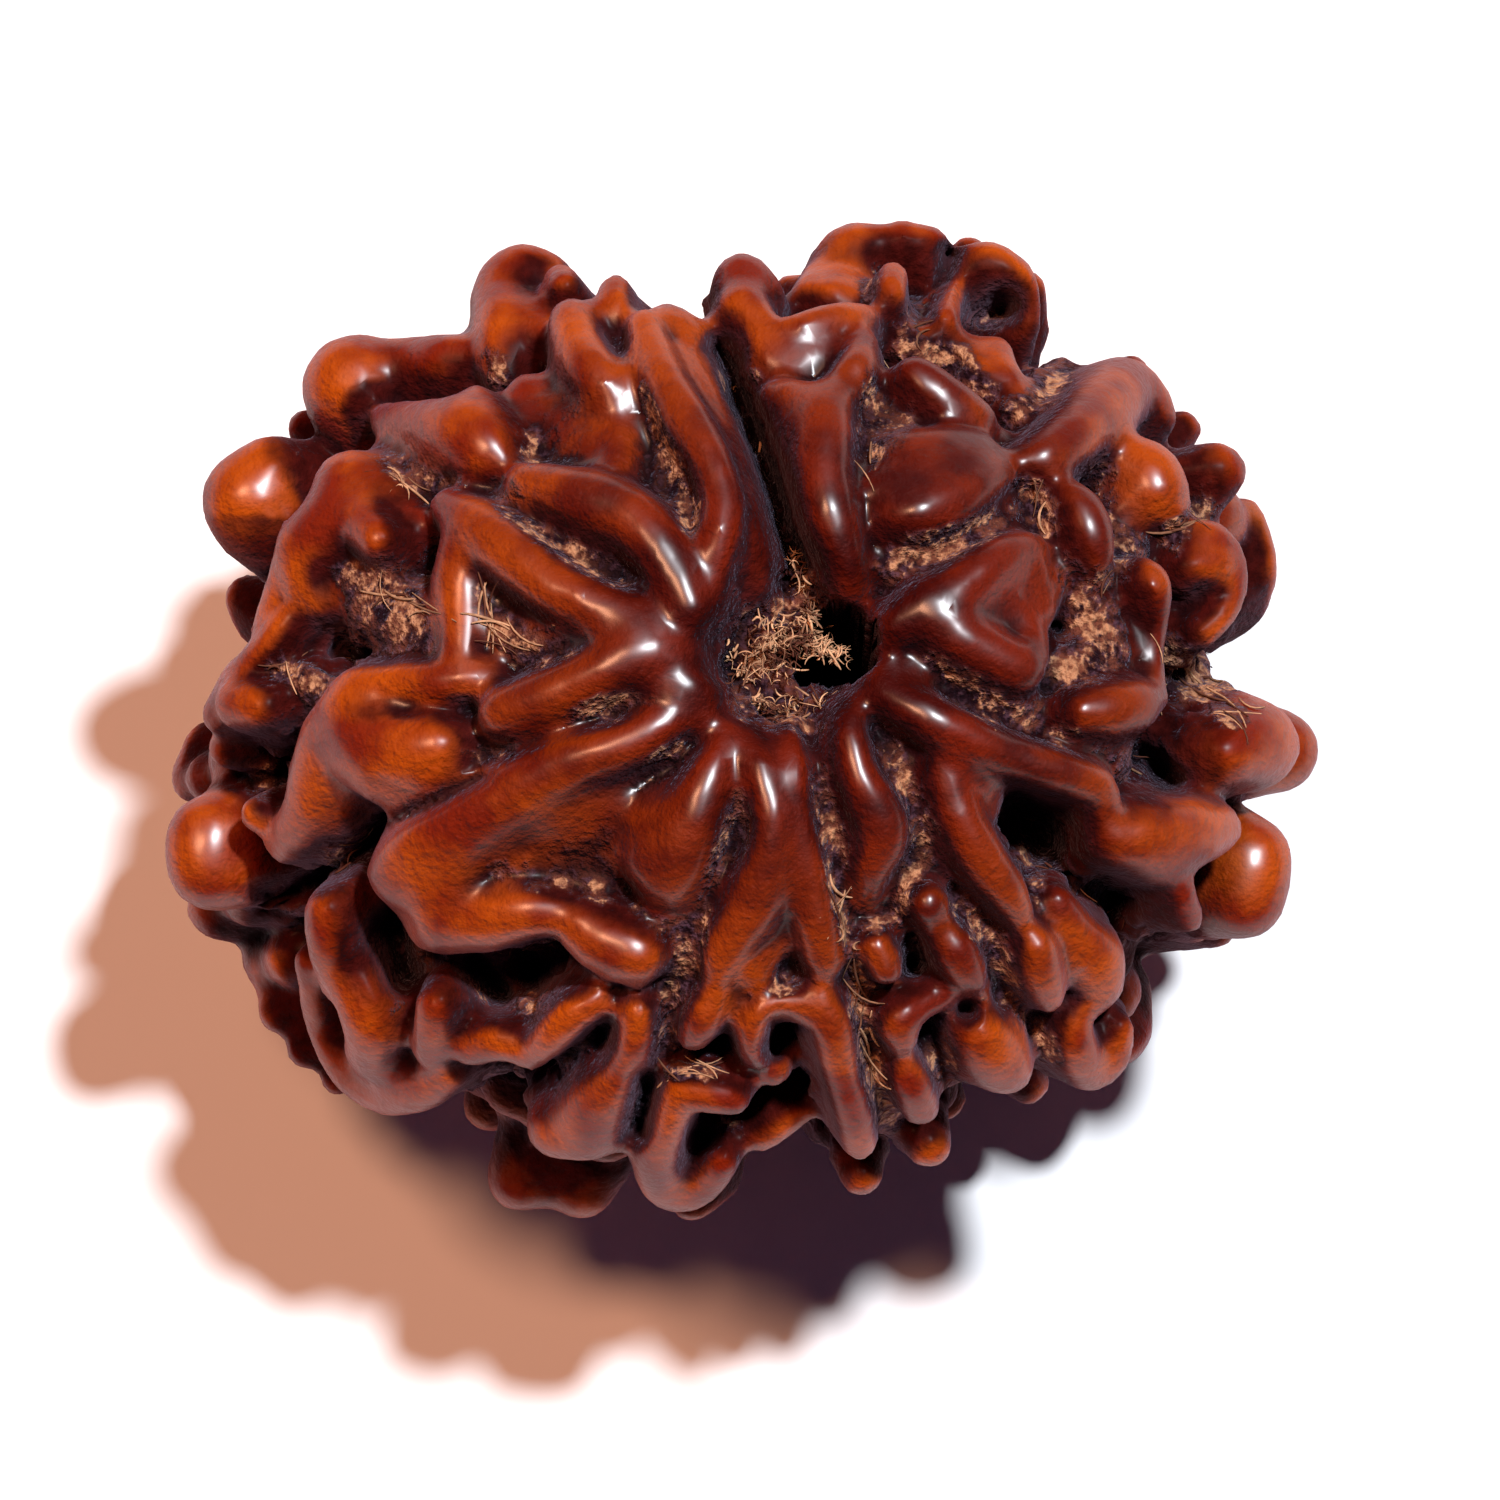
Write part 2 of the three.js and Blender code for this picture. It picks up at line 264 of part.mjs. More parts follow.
// Shallow floors between the ridges, on low swells: [across, up, half width].
const FLOORS = [
  [[-2.5, 8.6, 0.3], [-1.9, 6.8, 0.35], [-1.3, 5.0, 0.35], [-1.2, 4.0, 0.3]],
  [[-4.6, 8.1, 0.7], [-5.4, 7.0, 0.6], [-6.1, 5.6, 0.5], [-4.9, 4.7, 0.4], [-3.6, 4.0, 0.45],
    [-2.6, 3.3, 0.35]],
  [[-9.2, 6.8, 0.4], [-8.4, 6.3, 0.5], [-7.4, 6.2, 0.4]],
  [[-6.7, 9.9, 0.4], [-6.2, 9.0, 0.4]],
  [[-6.8, 3.2, 0.4], [-5.9, 2.2, 0.6], [-4.9, 2.0, 0.6], [-3.9, 1.9, 0.3]],
  [[-4.6, 0.1, 0.4], [-3.6, 0.4, 0.45], [-2.5, 0.6, 0.35], [-1.8, 0.3, 0.3]],
  [[-6.8, -0.9, 0.4], [-5.8, -0.4, 0.45]],
  [[-7.4, -1.7, 0.3], [-8.6, -2.1, 0.3]],
  [[-10.2, 3.9, 0.5], [-9.0, 3.0, 0.8], [-7.9, 2.0, 0.5]],
  [[-12.0, 1.4, 0.4], [-11.0, 0.9, 0.4]],
  [[-6.3, -3.9, 0.6], [-4.9, -3.9, 0.5], [-3.6, -4.3, 0.4]],
  [[3.1, 9.6, 0.3], [3.4, 8.2, 0.4], [3.4, 7.0, 0.5], [4.3, 7.6, 0.5]],
  [[0.4, 9.0, 0.3], [1.6, 9.3, 0.5]],
  [[3.0, 11.4, 0.5]],
  [[4.6, 10.8, 0.3], [4.3, 9.8, 0.4], [5.4, 9.5, 0.5], [6.3, 8.7, 0.5]],
  [[7.0, 8.0, 0.4], [7.5, 8.4, 0.4], [8.3, 8.9, 0.4]],
  [[6.6, 7.1, 0.4], [7.2, 6.2, 0.4], [7.8, 5.6, 0.4], [7.7, 4.9, 0.4]],
  [[3.2, 4.0, 0.35], [4.2, 4.3, 0.45], [5.4, 4.7, 0.5], [6.6, 5.2, 0.5]],
  [[9.5, 6.6, 0.5], [9.6, 5.3, 0.4]],
  [[11.2, 5.0, 0.4], [11.9, 5.5, 0.4]],
  [[9.4, 3.7, 0.4], [10.0, 4.6, 0.4]],
  [[8.2, 3.9, 0.5], [8.9, 2.9, 0.6], [9.4, 1.8, 0.6], [8.3, 1.3, 0.5]],
  [[4.4, 1.5, 0.35], [5.3, 1.2, 0.45], [6.3, 0.5, 0.5], [7.4, 0.1, 0.5]],
  [[8.0, -0.4, 0.5], [9.4, -0.8, 0.5]],
  [[1.95, -1.2, 0.25], [2.1, -2.4, 0.35], [2.45, -3.6, 0.35], [2.5, -4.8, 0.35], [2.85, -6.2, 0.35],
    [3.1, -7.6, 0.3], [3.4, -9.2, 0.3], [3.8, -10.4, 0.3]],
  [[3.9, -0.8, 0.35], [4.4, -2.0, 0.4], [4.6, -3.0, 0.35], [4.4, -4.0, 0.4], [4.0, -5.0, 0.35]],
  [[-0.1, -1.6, 0.3], [-0.3, -2.8, 0.45], [-0.8, -3.9, 0.4], [-1.2, -5.0, 0.5], [-1.4, -6.2, 0.45],
    [-1.8, -7.1, 0.4]],
  [[1.0, -2.8, 0.2], [1.1, -3.8, 0.25]],
  [[0.2, -7.0, 0.4], [1.0, -6.8, 0.45]],
  [[-2.6, -4.9, 0.4], [-1.8, -5.4, 0.4]],
  [[3.4, -5.2, 0.4]],
  [[5.6, -4.8, 0.4], [6.6, -6.0, 0.4], [7.0, -7.2, 0.4]],
  [[7.5, -7.8, 0.35], [8.1, -8.7, 0.3]],
  [[5.2, -8.8, 0.5]],
  [[-1.8, -9.1, 0.25], [-0.8, -9.1, 0.25]],
  [[-2.0, -8.0, 0.4]],
  [[-2.3, -0.9, 0.25], [-1.7, -0.7, 0.3]],
];
// Share of a floor's half width that its swell has, and how far the swell lies below the envelope.
const FLOOR_WIDTH = 1.25;
const FLOOR_DROP = 1.2;

// Clefts cut below the valley floor: [across, up, half width, extra depth].
const CLEFTS = [
  [[1.2, 3.9, 0.4, 1.2], [1.0, 5.2, 0.45, 1.8], [0.6, 6.5, 0.4, 1.8], [0.3, 7.6, 0.35, 1.6],
    [-0.1, 8.7, 0.4, 1.4], [-0.5, 9.4, 0.4, 1.4]],
  [[7.4, -2.4, 0.7, 1.8], [8.2, -3.4, 0.8, 2.2], [9.4, -4.6, 0.8, 2.2]],
  [[-9.3, -5.2, 0.6, 2.2], [-8.9, -6.6, 0.6, 2.2]],
  [[-12.4, -4.3, 0.6, 1.0], [-10.4, -3.7, 0.5, 1.2], [-8.9, -2.6, 0.4, 0.8]],
  [[10.6, -1.4, 0.5, 0.8], [9.0, -0.9, 0.3, 0.8]],
  [[4.6, -1.5, 0.25, 0.8], [5.1, -4.0, 0.3, 0.8]],
  [[-2.6, -9.6, 0.4, 1.6], [-2.8, -10.6, 0.5, 1.6]],
  [[-0.9, -10.6, 0.3, 0.8]],
  [[-7.0, -6.4, 0.6, 1.8], [-6.2, -7.1, 0.6, 1.8], [-5.2, -6.6, 0.5, 1.4]],
  [[6.4, 10.7, 0.6, 2.2]],
];

const TILT = THREE.MathUtils.degToRad(SIGHT_TILT);
const SIGHT_UP = new THREE.Vector3(0, Math.cos(TILT), Math.sin(TILT));
const SIGHT_POINT = new THREE.Vector3(0, -Math.sin(TILT), Math.cos(TILT)).multiplyScalar(SIGHT_DISTANCE);
const HALF_SIZE = new THREE.Vector3(HALF_LENGTH, HALF_WIDTH, HALF_HEIGHT);

// Random numbers from 0 to 1 that are the same every time.
let drawState = SEED;
function draw() {
  drawState = (Math.imul(drawState, 1664525) + 1013904223) >>> 0;
  return drawState / 4294967296;
}

function between(low, high) {
  return low + (high - low) * draw();
}

// Where a line of sight meets the envelope, taken in by inset, on its near or far side.
function sightedPlace(across, up, inset, far) {
  const along = new THREE.Vector3(across, 0, 0).addScaledVector(SIGHT_UP, up).sub(SIGHT_POINT);
  const span = along.length();
  const size = HALF_SIZE.clone().subScalar(inset);
  const start = SIGHT_POINT.clone().divide(size);
  const step = along.clone().divide(size);
  const a = step.lengthSq();
  const b = start.dot(step);
  const c = start.lengthSq() - 1;
  const reach = Math.sqrt(Math.max(b * b - a * c, 0)) / a;
  const offset = far ? Math.max(reach, RIM_FALL / span) : -Math.max(reach, RIM_RISE / span);
  return SIGHT_POINT.clone().addScaledVector(along, -b / a + offset);
}

// The place on the envelope, taken in by inset, straight out from the middle.
function outwardPlace(direction, inset) {
  const size = HALF_SIZE.clone().subScalar(inset);
  return direction.clone().multiplyScalar(1 / direction.clone().divide(size).length());
}

// A smooth curve through the listed places, four numbers each.
function smoothPlaces(places, spacing) {
  const smooth = [];
  for (let i = 0; i + 1 < places.length; i += 1) {
    const before = places[Math.max(i - 1, 0)];
    const from = places[i];
    const to = places[i + 1];
    const after = places[Math.min(i + 2, places.length - 1)];
    const steps = Math.max(1, Math.round(Math.hypot(to[0] - from[0], to[1] - from[1]) / spacing));
    for (let k = 0; k < steps; k += 1) {
      const t = k / steps;
      smooth.push(from.map((value, j) => {
        const lean = (to[j] - before[j]) / 2;
        const nextLean = (after[j] - value) / 2;
        const rise = 3 * (to[j] - value) - 2 * lean - nextLean;
        const fall = 2 * (value - to[j]) + lean + nextLean;
        return value + t * (lean + t * (rise + t * fall));
      }));
    }
  }
  smooth.push(places[places.length - 1]);
  return smooth;
}

// A column is a round-topped spoke: its top's centre and the half width there.
function column(centre, radius) {
  const reach = centre.length();
  return { axis: centre.clone().divideScalar(reach), reach, radius };
}

function sightedColumns(ridges, far) {
  const columns = [];
  for (const ridge of ridges) {
    for (const [across, up, radius, drop] of smoothPlaces(ridge, COLUMN_SPACING)) {
      columns.push(column(sightedPlace(across, up, radius + drop, far), radius));
    }
  }
  return columns;
}

// Direction on the underside: turn round the axis and slope away from straight down,
// with the pole carried over to the bore and the rim tilted to the edge of what is sighted.
function underDirection(turn, slope) {
  const poleShare = Math.max(Math.cos(slope), 0) ** 2;
  const lean = slope + TILT * Math.sin(turn) * (slope / (Math.PI / 2)) ** 2;
  const direction = new THREE.Vector3(Math.cos(turn) * Math.sin(lean), Math.sin(turn) * Math.sin(lean),
    -Math.cos(lean));
  direction.x += poleShare * BORE_X / HALF_HEIGHT;
  return direction.normalize();
}

function underRidge(path) {
  return smoothPlaces(path, 0.04).map(([turn, slope, radius, drop]) => {
    const direction = underDirection(turn, slope);
    return column(outwardPlace(direction, radius + drop), radius);
  });
}

// Each segment of the underside is a ridge that leaves the pole, forks in two and
// ends in knobs at the rim, with side knobs on the way.
function undersideColumns() {
  const columns = [];
  const share = 2 * Math.PI / SEGMENTS;
  for (let i = 0; i < SEGMENTS; i += 1) {
    const middle = (i + between(0.35, 0.65)) * share;
    const fork = between(0.62, 0.8);
    columns.push(...underRidge([[middle, 0.27, 0.4, 1.0], [middle + between(-0.05, 0.05), 0.42, 0.55, 0.3],
      [middle, fork, 0.75, 0.2]]));
    for (const side of [-1, 1]) {
      const spread = side * share * between(0.2, 0.27);
      const bend = between(-0.05, 0.05);
      columns.push(...underRidge([[middle, fork, 0.7, 0.2],
        [middle + spread * 0.7, fork + 0.18, between(0.6, 0.85), 0.15],
        [middle + spread + bend, fork + 0.36, between(0.55, 0.8), 0.1],
        [middle + spread * 0.9, 1.22, between(0.75, 0.95), between(0, 0.2)]]));
      columns.push(...underRidge([[middle + spread + bend, fork + 0.3, 0.5, 0.4],
        [middle + spread * 1.6, fork + between(0.3, 0.42), between(0.45, 0.6), 0.3]]));
    }
    for (const [slope, drop] of RIM_ROWS) {
      for (let k = 0; k < RIM_KNOBS; k += 1) {
        const turn = middle + share * ((k + between(0.3, 0.7)) / RIM_KNOBS - 0.5);
        const lift = slope + between(-0.04, 0.04);
        columns.push(...underRidge([[turn, lift, between(0.6, 0.95), drop + between(0, 0.4)]]));
      }
    }
  }
  return columns;
}

function floorColumns() {
  const swells = FLOORS.map((floor) => floor.map(([across, up, width]) => (
    [across, up, FLOOR_WIDTH * width, FLOOR_DROP])));
  return sightedColumns(swells, false);
}

function feetColumns() {
  return FEET.map(([x, y]) => column(new THREE.Vector3(x, y, FOOT_RADIUS - FOOT_REACH), FOOT_RADIUS));
}

// Generated columns give way to those that were sighted.
function clearOf(columns, others, gap) {
  return columns.filter((one) => others.every((other) => {
    const apart = one.axis.angleTo(other.axis) * one.reach;
    return apart > gap + other.radius;
  }));
}

// Where a column's round top is seen on the sighting plane, and how wide it looks there.
function seenDisc({ axis, radius }, reach) {
  const centre = axis.clone().multiplyScalar(reach);
  const grown = SIGHT_DISTANCE / (SIGHT_DISTANCE - centre.dot(SIGHT_POINT) / SIGHT_DISTANCE);
  return { across: centre.x * grown, up: centre.dot(SIGHT_UP) * grown, radius: radius * grown };
}

// How far out the columns are seen, in every direction round the middle.
function outlineOf(columns) {
  const outline = new Array(OUTLINE_STEPS).fill(0);
  for (const one of columns) {
    const { across, up, radius } = seenDisc(one, one.reach);
    for (let i = 0; i < OUTLINE_STEPS; i += 1) {
      const turn = (2 * Math.PI * i) / OUTLINE_STEPS;
      const along = across * Math.cos(turn) + up * Math.sin(turn);
      const room = radius * radius - (across * across + up * up - along * along);
      if (along > 0 && room > 0) {
        outline[i] = Math.max(outline[i], along + Math.sqrt(room));
      }
    }
  }
  return outline;
}

function staysWithin(one, reach, outline) {
  const { across, up, radius } = seenDisc(one, reach);
  for (let k = 0; k < EDGE_POINTS; k += 1) {
    const turn = (2 * Math.PI * k) / EDGE_POINTS;
    const x = across + radius * Math.cos(turn);
    const y = up + radius * Math.sin(turn);
    const step = Math.round((Math.atan2(y, x) / (2 * Math.PI) + 1) * OUTLINE_STEPS) % OUTLINE_STEPS;
    if (Math.hypot(x, y) > outline[step] - OUTLINE_GAP) {
      return false;
    }
  }
  return true;
}

// Sinks the columns that would show past the outline, and leaves out those that still would.
function withinOutline(columns, outline) {
  const kept = [];
  for (const one of columns) {
    for (let k = 0; k < SINK_STEPS; k += 1) {
      const reach = one.reach - k * SINK_STEP;
      if (staysWithin(one, reach, outline)) {
        kept.push({ ...one, reach });
        break;
      }
    }
  }
  return kept;
}

// How far out the column's surface lies in a direction, or 0 where it is missed.
function columnHeight({ axis, reach, radius }, direction) {
  const along = axis.dot(direction);
  if (along < 0.9) {
    return 0;
  }
  const across = Math.sqrt(Math.max(1 - along * along, 0));
  const miss = reach * across;
  if (miss < radius * 0.97) {
    return reach * along + Math.sqrt(radius * radius - miss * miss);
  }
  return (radius + FLANK_SLOPE * reach) / (across + FLANK_SLOPE * along);
}

function coreHeight(direction, clefts) {
  const floor = outwardPlace(direction, VALLEY_DEPTH).length();
  let cut = 0;
  for (const { axis, reach, radius, depth } of clefts) {
    const apart = axis.distanceTo(direction) * reach;
    cut = Math.max(cut, depth * Math.exp(-((apart / radius) ** 2)));
  }
  return floor - cut;
}

function cleftMarks() {
  const marks = [];
  for (const cleft of CLEFTS) {
    for (const [across, up, radius, depth] of smoothPlaces(cleft, COLUMN_SPACING)) {
      marks.push({ ...column(sightedPlace(across, up, VALLEY_DEPTH, false), radius), depth });
    }
  }
  return marks;
}

function surfaceHeight(direction, columns, clefts) {
  let height = coreHeight(direction, clefts);
  for (const one of columns) {
    height = Math.max(height, columnHeight(one, direction));
  }
  return height;
}

// A direction a little to one side of another: turn round it, and how far in millimetres.
function aside(direction, turn, distance) {
  const side = new THREE.Vector3(direction.y, direction.z, direction.x).cross(direction).normalize();
  const other = side.clone().cross(direction);
  const step = distance / HALF_WIDTH;
  const moved = direction.clone().addScaledVector(side, step * Math.cos(turn));
  return moved.addScaledVector(other, step * Math.sin(turn)).normalize();
}

// Average height over a small patch, so that narrow ridges stay smooth between corners.
function patchHeight(direction, columns, clefts) {
  let total = 2 * surfaceHeight(direction, columns, clefts);
  for (let i = 0; i < PATCH_SAMPLES; i += 1) {
    const turn = (2 * Math.PI * i) / PATCH_SAMPLES;
    total += surfaceHeight(aside(direction, turn, PATCH_RADIUS), columns, clefts);
  }
  return total / (PATCH_SAMPLES + 2);
}

// Moves a corner that falls on a wall to the crest above it or the valley below it.
function offTheWall(start, columns, clefts) {
  let direction = start.clone();
  for (let i = 0; i < WALL_STEPS; i += 1) {
    const rise = [0, 1, 2, 3].map((quarter) => (
      surfaceHeight(aside(direction, (Math.PI / 2) * quarter, WALL_STEP), columns, clefts)));
    const lengthwise = (rise[0] - rise[2]) / (2 * WALL_STEP);
    const crosswise = (rise[1] - rise[3]) / (2 * WALL_STEP);
    if (Math.hypot(lengthwise, crosswise) < WALL_SLOPE) {
      return direction;
    }
    const middle = outwardPlace(direction, VALLEY_DEPTH / 2).length();
    const above = surfaceHeight(direction, columns, clefts) > middle;
    const uphill = Math.atan2(crosswise, lengthwise);
    direction = aside(direction, above ? uphill : uphill + Math.PI, WALL_STEP);
  }
  return direction;
}

function carvedSkin() {
  const sphere = new THREE.IcosahedronGeometry(1, SKIN_STEPS - 1);
  sphere.deleteAttribute('normal');
  sphere.deleteAttribute('uv');
  const skin = mergeVertices(sphere);
  const upper = sightedColumns([...UPPER_LEFT, ...TOP, ...RIGHT, ...LOWER_RIGHT, ...LOWER_LEFT], false);
  const seen = [...upper, ...sightedColumns(UNDER_RIM, true), ...feetColumns()];
  const hidden = withinOutline(clearOf(undersideColumns(), seen, HIDDEN_GAP), outlineOf(seen));
  const columns = [...seen, ...hidden, ...floorColumns()];
  const clefts = cleftMarks();
  const places = skin.getAttribute('position');
  const direction = new THREE.Vector3();
  for (let i = 0; i < places.count; i += 1) {
    direction.fromBufferAttribute(places, i).normalize();
    const nearColumns = columns.filter((one) => one.axis.dot(direction) > NEAR_SHARE);
    const nearClefts = clefts.filter((one) => one.axis.dot(direction) > NEAR_SHARE);
    direction.copy(offTheWall(direction, nearColumns, nearClefts));
    direction.multiplyScalar(patchHeight(direction, nearColumns, nearClefts));
    places.setXYZ(i, direction.x, direction.y, direction.z);
  }
  return eased(skin);
}

// Eases the corners towards their neighbours, which rounds the narrow crests.
function eased(geometry) {
  const places = geometry.getAttribute('position');
  const corners = geometry.getIndex().array;
  const sums = Array.from({ length: places.count }, () => new THREE.Vector3());
  const counts = new Array(places.count).fill(0);
  const neighbour = new THREE.Vector3();
  for (let i = 0; i < corners.length; i += 3) {
    for (let k = 0; k < 3; k += 1) {
      const corner = corners[i + k];
      sums[corner].add(neighbour.fromBufferAttribute(places, corners[i + ((k + 1) % 3)]));
      counts[corner] += 1;
    }
  }
  for (let i = 0; i < places.count; i += 1) {
    neighbour.fromBufferAttribute(places, i).lerp(sums[i].divideScalar(counts[i]), EASING);
    places.setXYZ(i, neighbour.x, neighbour.y, neighbour.z);
  }
  return geometry;
}

const wasm = await Module();
wasm.setup();

function solid(geometry) {
  const plain = geometry.clone();
  for (const name of Object.keys(plain.attributes)) {
    if (name !== 'position') {
      plain.deleteAttribute(name);
    }
  }
  const merged = mergeVertices(plain);
  return new wasm.Manifold(new wasm.Mesh({
    numProp: 3,
    vertProperties: new Float32Array(merged.getAttribute('position').array),
    triVerts: new Uint32Array(merged.getIndex().array),
  }));
}

function geometryOf(body) {
  const mesh = body.getMesh();
  const geometry = new THREE.BufferGeometry();
  geometry.setAttribute('position', new THREE.BufferAttribute(new Float32Array(mesh.vertProperties), 3));
  geometry.setIndex(new THREE.BufferAttribute(new Uint32Array(mesh.triVerts), 1));
  geometry.computeVertexNormals();
  return geometry;
}

function buildBead() {
  const skin = carvedSkin();
  skin.computeBoundingBox();
  const restingHeight = skin.boundingBox.min.z + FOOT_WEAR;

  const bore = new THREE.CylinderGeometry(BORE_DIAMETER / 2, BORE_DIAMETER / 2, 4 * HALF_HEIGHT, BORE_SIDES);
  bore.rotateX(Math.PI / 2);
  bore.translate(BORE_X, BORE_Y, 0);

  const worn = new THREE.BoxGeometry(4 * HALF_LENGTH, 4 * HALF_WIDTH, HALF_HEIGHT);
  worn.translate(0, 0, restingHeight - HALF_HEIGHT / 2);

  const geometry = geometryOf(solid(skin).subtract(solid(bore)).subtract(solid(worn)));
  geometry.computeBoundingBox();
  const middle = geometry.boundingBox.getCenter(new THREE.Vector3());
  geometry.translate(-middle.x, -middle.y, -geometry.boundingBox.min.z);

  const stone = new THREE.MeshStandardMaterial({ color: 0x8e2f10, roughness: 0.3, metalness: 0 });
  const bead = new THREE.Mesh(geometry, stone);
  bead.name = 'bead';
  return bead;
}

const part = new THREE.Group();
part.add(buildBead());

export default part;
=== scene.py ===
import math
import random

import bpy
import numpy as np
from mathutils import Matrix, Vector, kdtree, noise
from mathutils.bvhtree import BVHTree


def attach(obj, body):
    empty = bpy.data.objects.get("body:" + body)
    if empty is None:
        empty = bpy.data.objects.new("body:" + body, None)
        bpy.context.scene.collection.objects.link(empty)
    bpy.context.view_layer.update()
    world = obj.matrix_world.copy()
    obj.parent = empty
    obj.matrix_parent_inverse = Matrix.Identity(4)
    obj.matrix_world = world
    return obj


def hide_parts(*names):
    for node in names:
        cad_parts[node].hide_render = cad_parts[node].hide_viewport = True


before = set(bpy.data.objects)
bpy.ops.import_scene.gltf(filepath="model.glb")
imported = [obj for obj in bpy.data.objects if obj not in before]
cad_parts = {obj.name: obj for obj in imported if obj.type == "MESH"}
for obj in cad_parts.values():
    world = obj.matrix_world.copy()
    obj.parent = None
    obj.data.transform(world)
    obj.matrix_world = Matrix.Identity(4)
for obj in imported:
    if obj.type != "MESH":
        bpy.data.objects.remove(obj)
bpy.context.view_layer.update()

# The stone is worked in millimetres in the frame of its own middle, then stood on its
# resting spots and brought to metres. All sizes below are in millimetres.
MILLIMETRE = 0.001
MILLIMETRES_IN_A_METRE = 1000
HALF_SIZE = np.array([15.0, 13.2, 11.6])
VALLEY_DEPTH = 2.9
FLANK_SLOPE = 0.2
UNDER_FLANK_SLOPE = 0.2
# Stems of the upper ridges lean this much from straight inwards to straight down.
STEM_LEAN = 0.7
BORE_RADIUS = 1.05
BORE_X, BORE_Y = 2.3, -0.1
DRILL_LENGTH = 40
STAND = np.array([-0.1511, 0.0577, 11.216])

# The upper side is laid out as it is seen from the camera's place.
SIGHT_DISTANCE = 180.0
TILT = math.radians(12)
RIM_RISE, RIM_FALL = 1.6, 2.6
FRAME_WIDTH = 38.96
PHOTO_SIDE = 1500
FRAME_SHIFT = (8, -28)
SENSOR_WIDTH = 36.0
SIGHT_POINT = SIGHT_DISTANCE * np.array([0, -math.sin(TILT), math.cos(TILT)])
SIGHT_UP = np.array([0, math.cos(TILT), math.sin(TILT)])

# Skin of the stone: size of its facets, and how far they are eased into each other.
SPOKE_SPACING = 0.2
STEM_LENGTH = 5.2
SKIN_PITCH = 0.18
EASING_SHARE = 0.5
EASING_ROUNDS = 8
BROAD_EASING_ROUNDS = 36
# Round tops of these half widths start, and fully take, the longer easing.
BROAD_WIDTHS = (0.45, 0.85)
SKIN_FACES = 190000
HOLLOW_ROUNDS = 120
BEND_ROUNDS = 14
RIM_REACH = (4.0, 12.0)
ROW_SPACING = 0.25
MARK_REACH = 2.5
# Rough skin, as size, strength and seed of its lumps, and of its slight waves.
LUMPS = ((0.7, 0.36, 1), (0.36, 0.24, 2))
WAVES = ((1.3, 0.12, 3), (0.5, 0.07, 4))
NOISE_STEPS = (7.3, 3.1, 5.7)

# Three low knobs to rest on, and the lobed segments of the underside.
FOOT_RADIUS = 1.15
FEET = [[-4.2, -2.8], [4.8, -2.9], [0.4, 4.6]]
SEGMENTS = 13
UNDER_SPACING = 0.03
POLE_SLOPE, STEM_SLOPE, RIM_SLOPE = 0.27, 0.42, 1.22
RIM_KNOBS = 3
RIM_ROWS = [[1.36, 0.1], [1.52, 0.2], [1.68, 1.1]]
HIDDEN_GAP = 0.45
OUTLINE_STEPS = 180
EDGE_POINTS = 12
OUTLINE_GAP = 0.1
SINK_STEP, SINK_STEPS = 0.25, 14
SEED = 4187
DRAW_FACTOR, DRAW_STEP, DRAW_RANGE = 1664525, 1013904223, 2 ** 32

# Scraps of dry fruit skin and fibre.
STRAND_LENGTH = (0.6, 1.5)
STRAND_WIDTH = (0.015, 0.045)
STRAND_FLATNESS = 0.7
STRAND_SHARES = (-0.5, -0.17, 0.17, 0.5)
STRAND_LIFT = 0.08
CRUMB_LENGTH = (0.2, 0.7)
CRUMB_WIDTH = (0.015, 0.04)
LOOSE_CRUMBS = 260

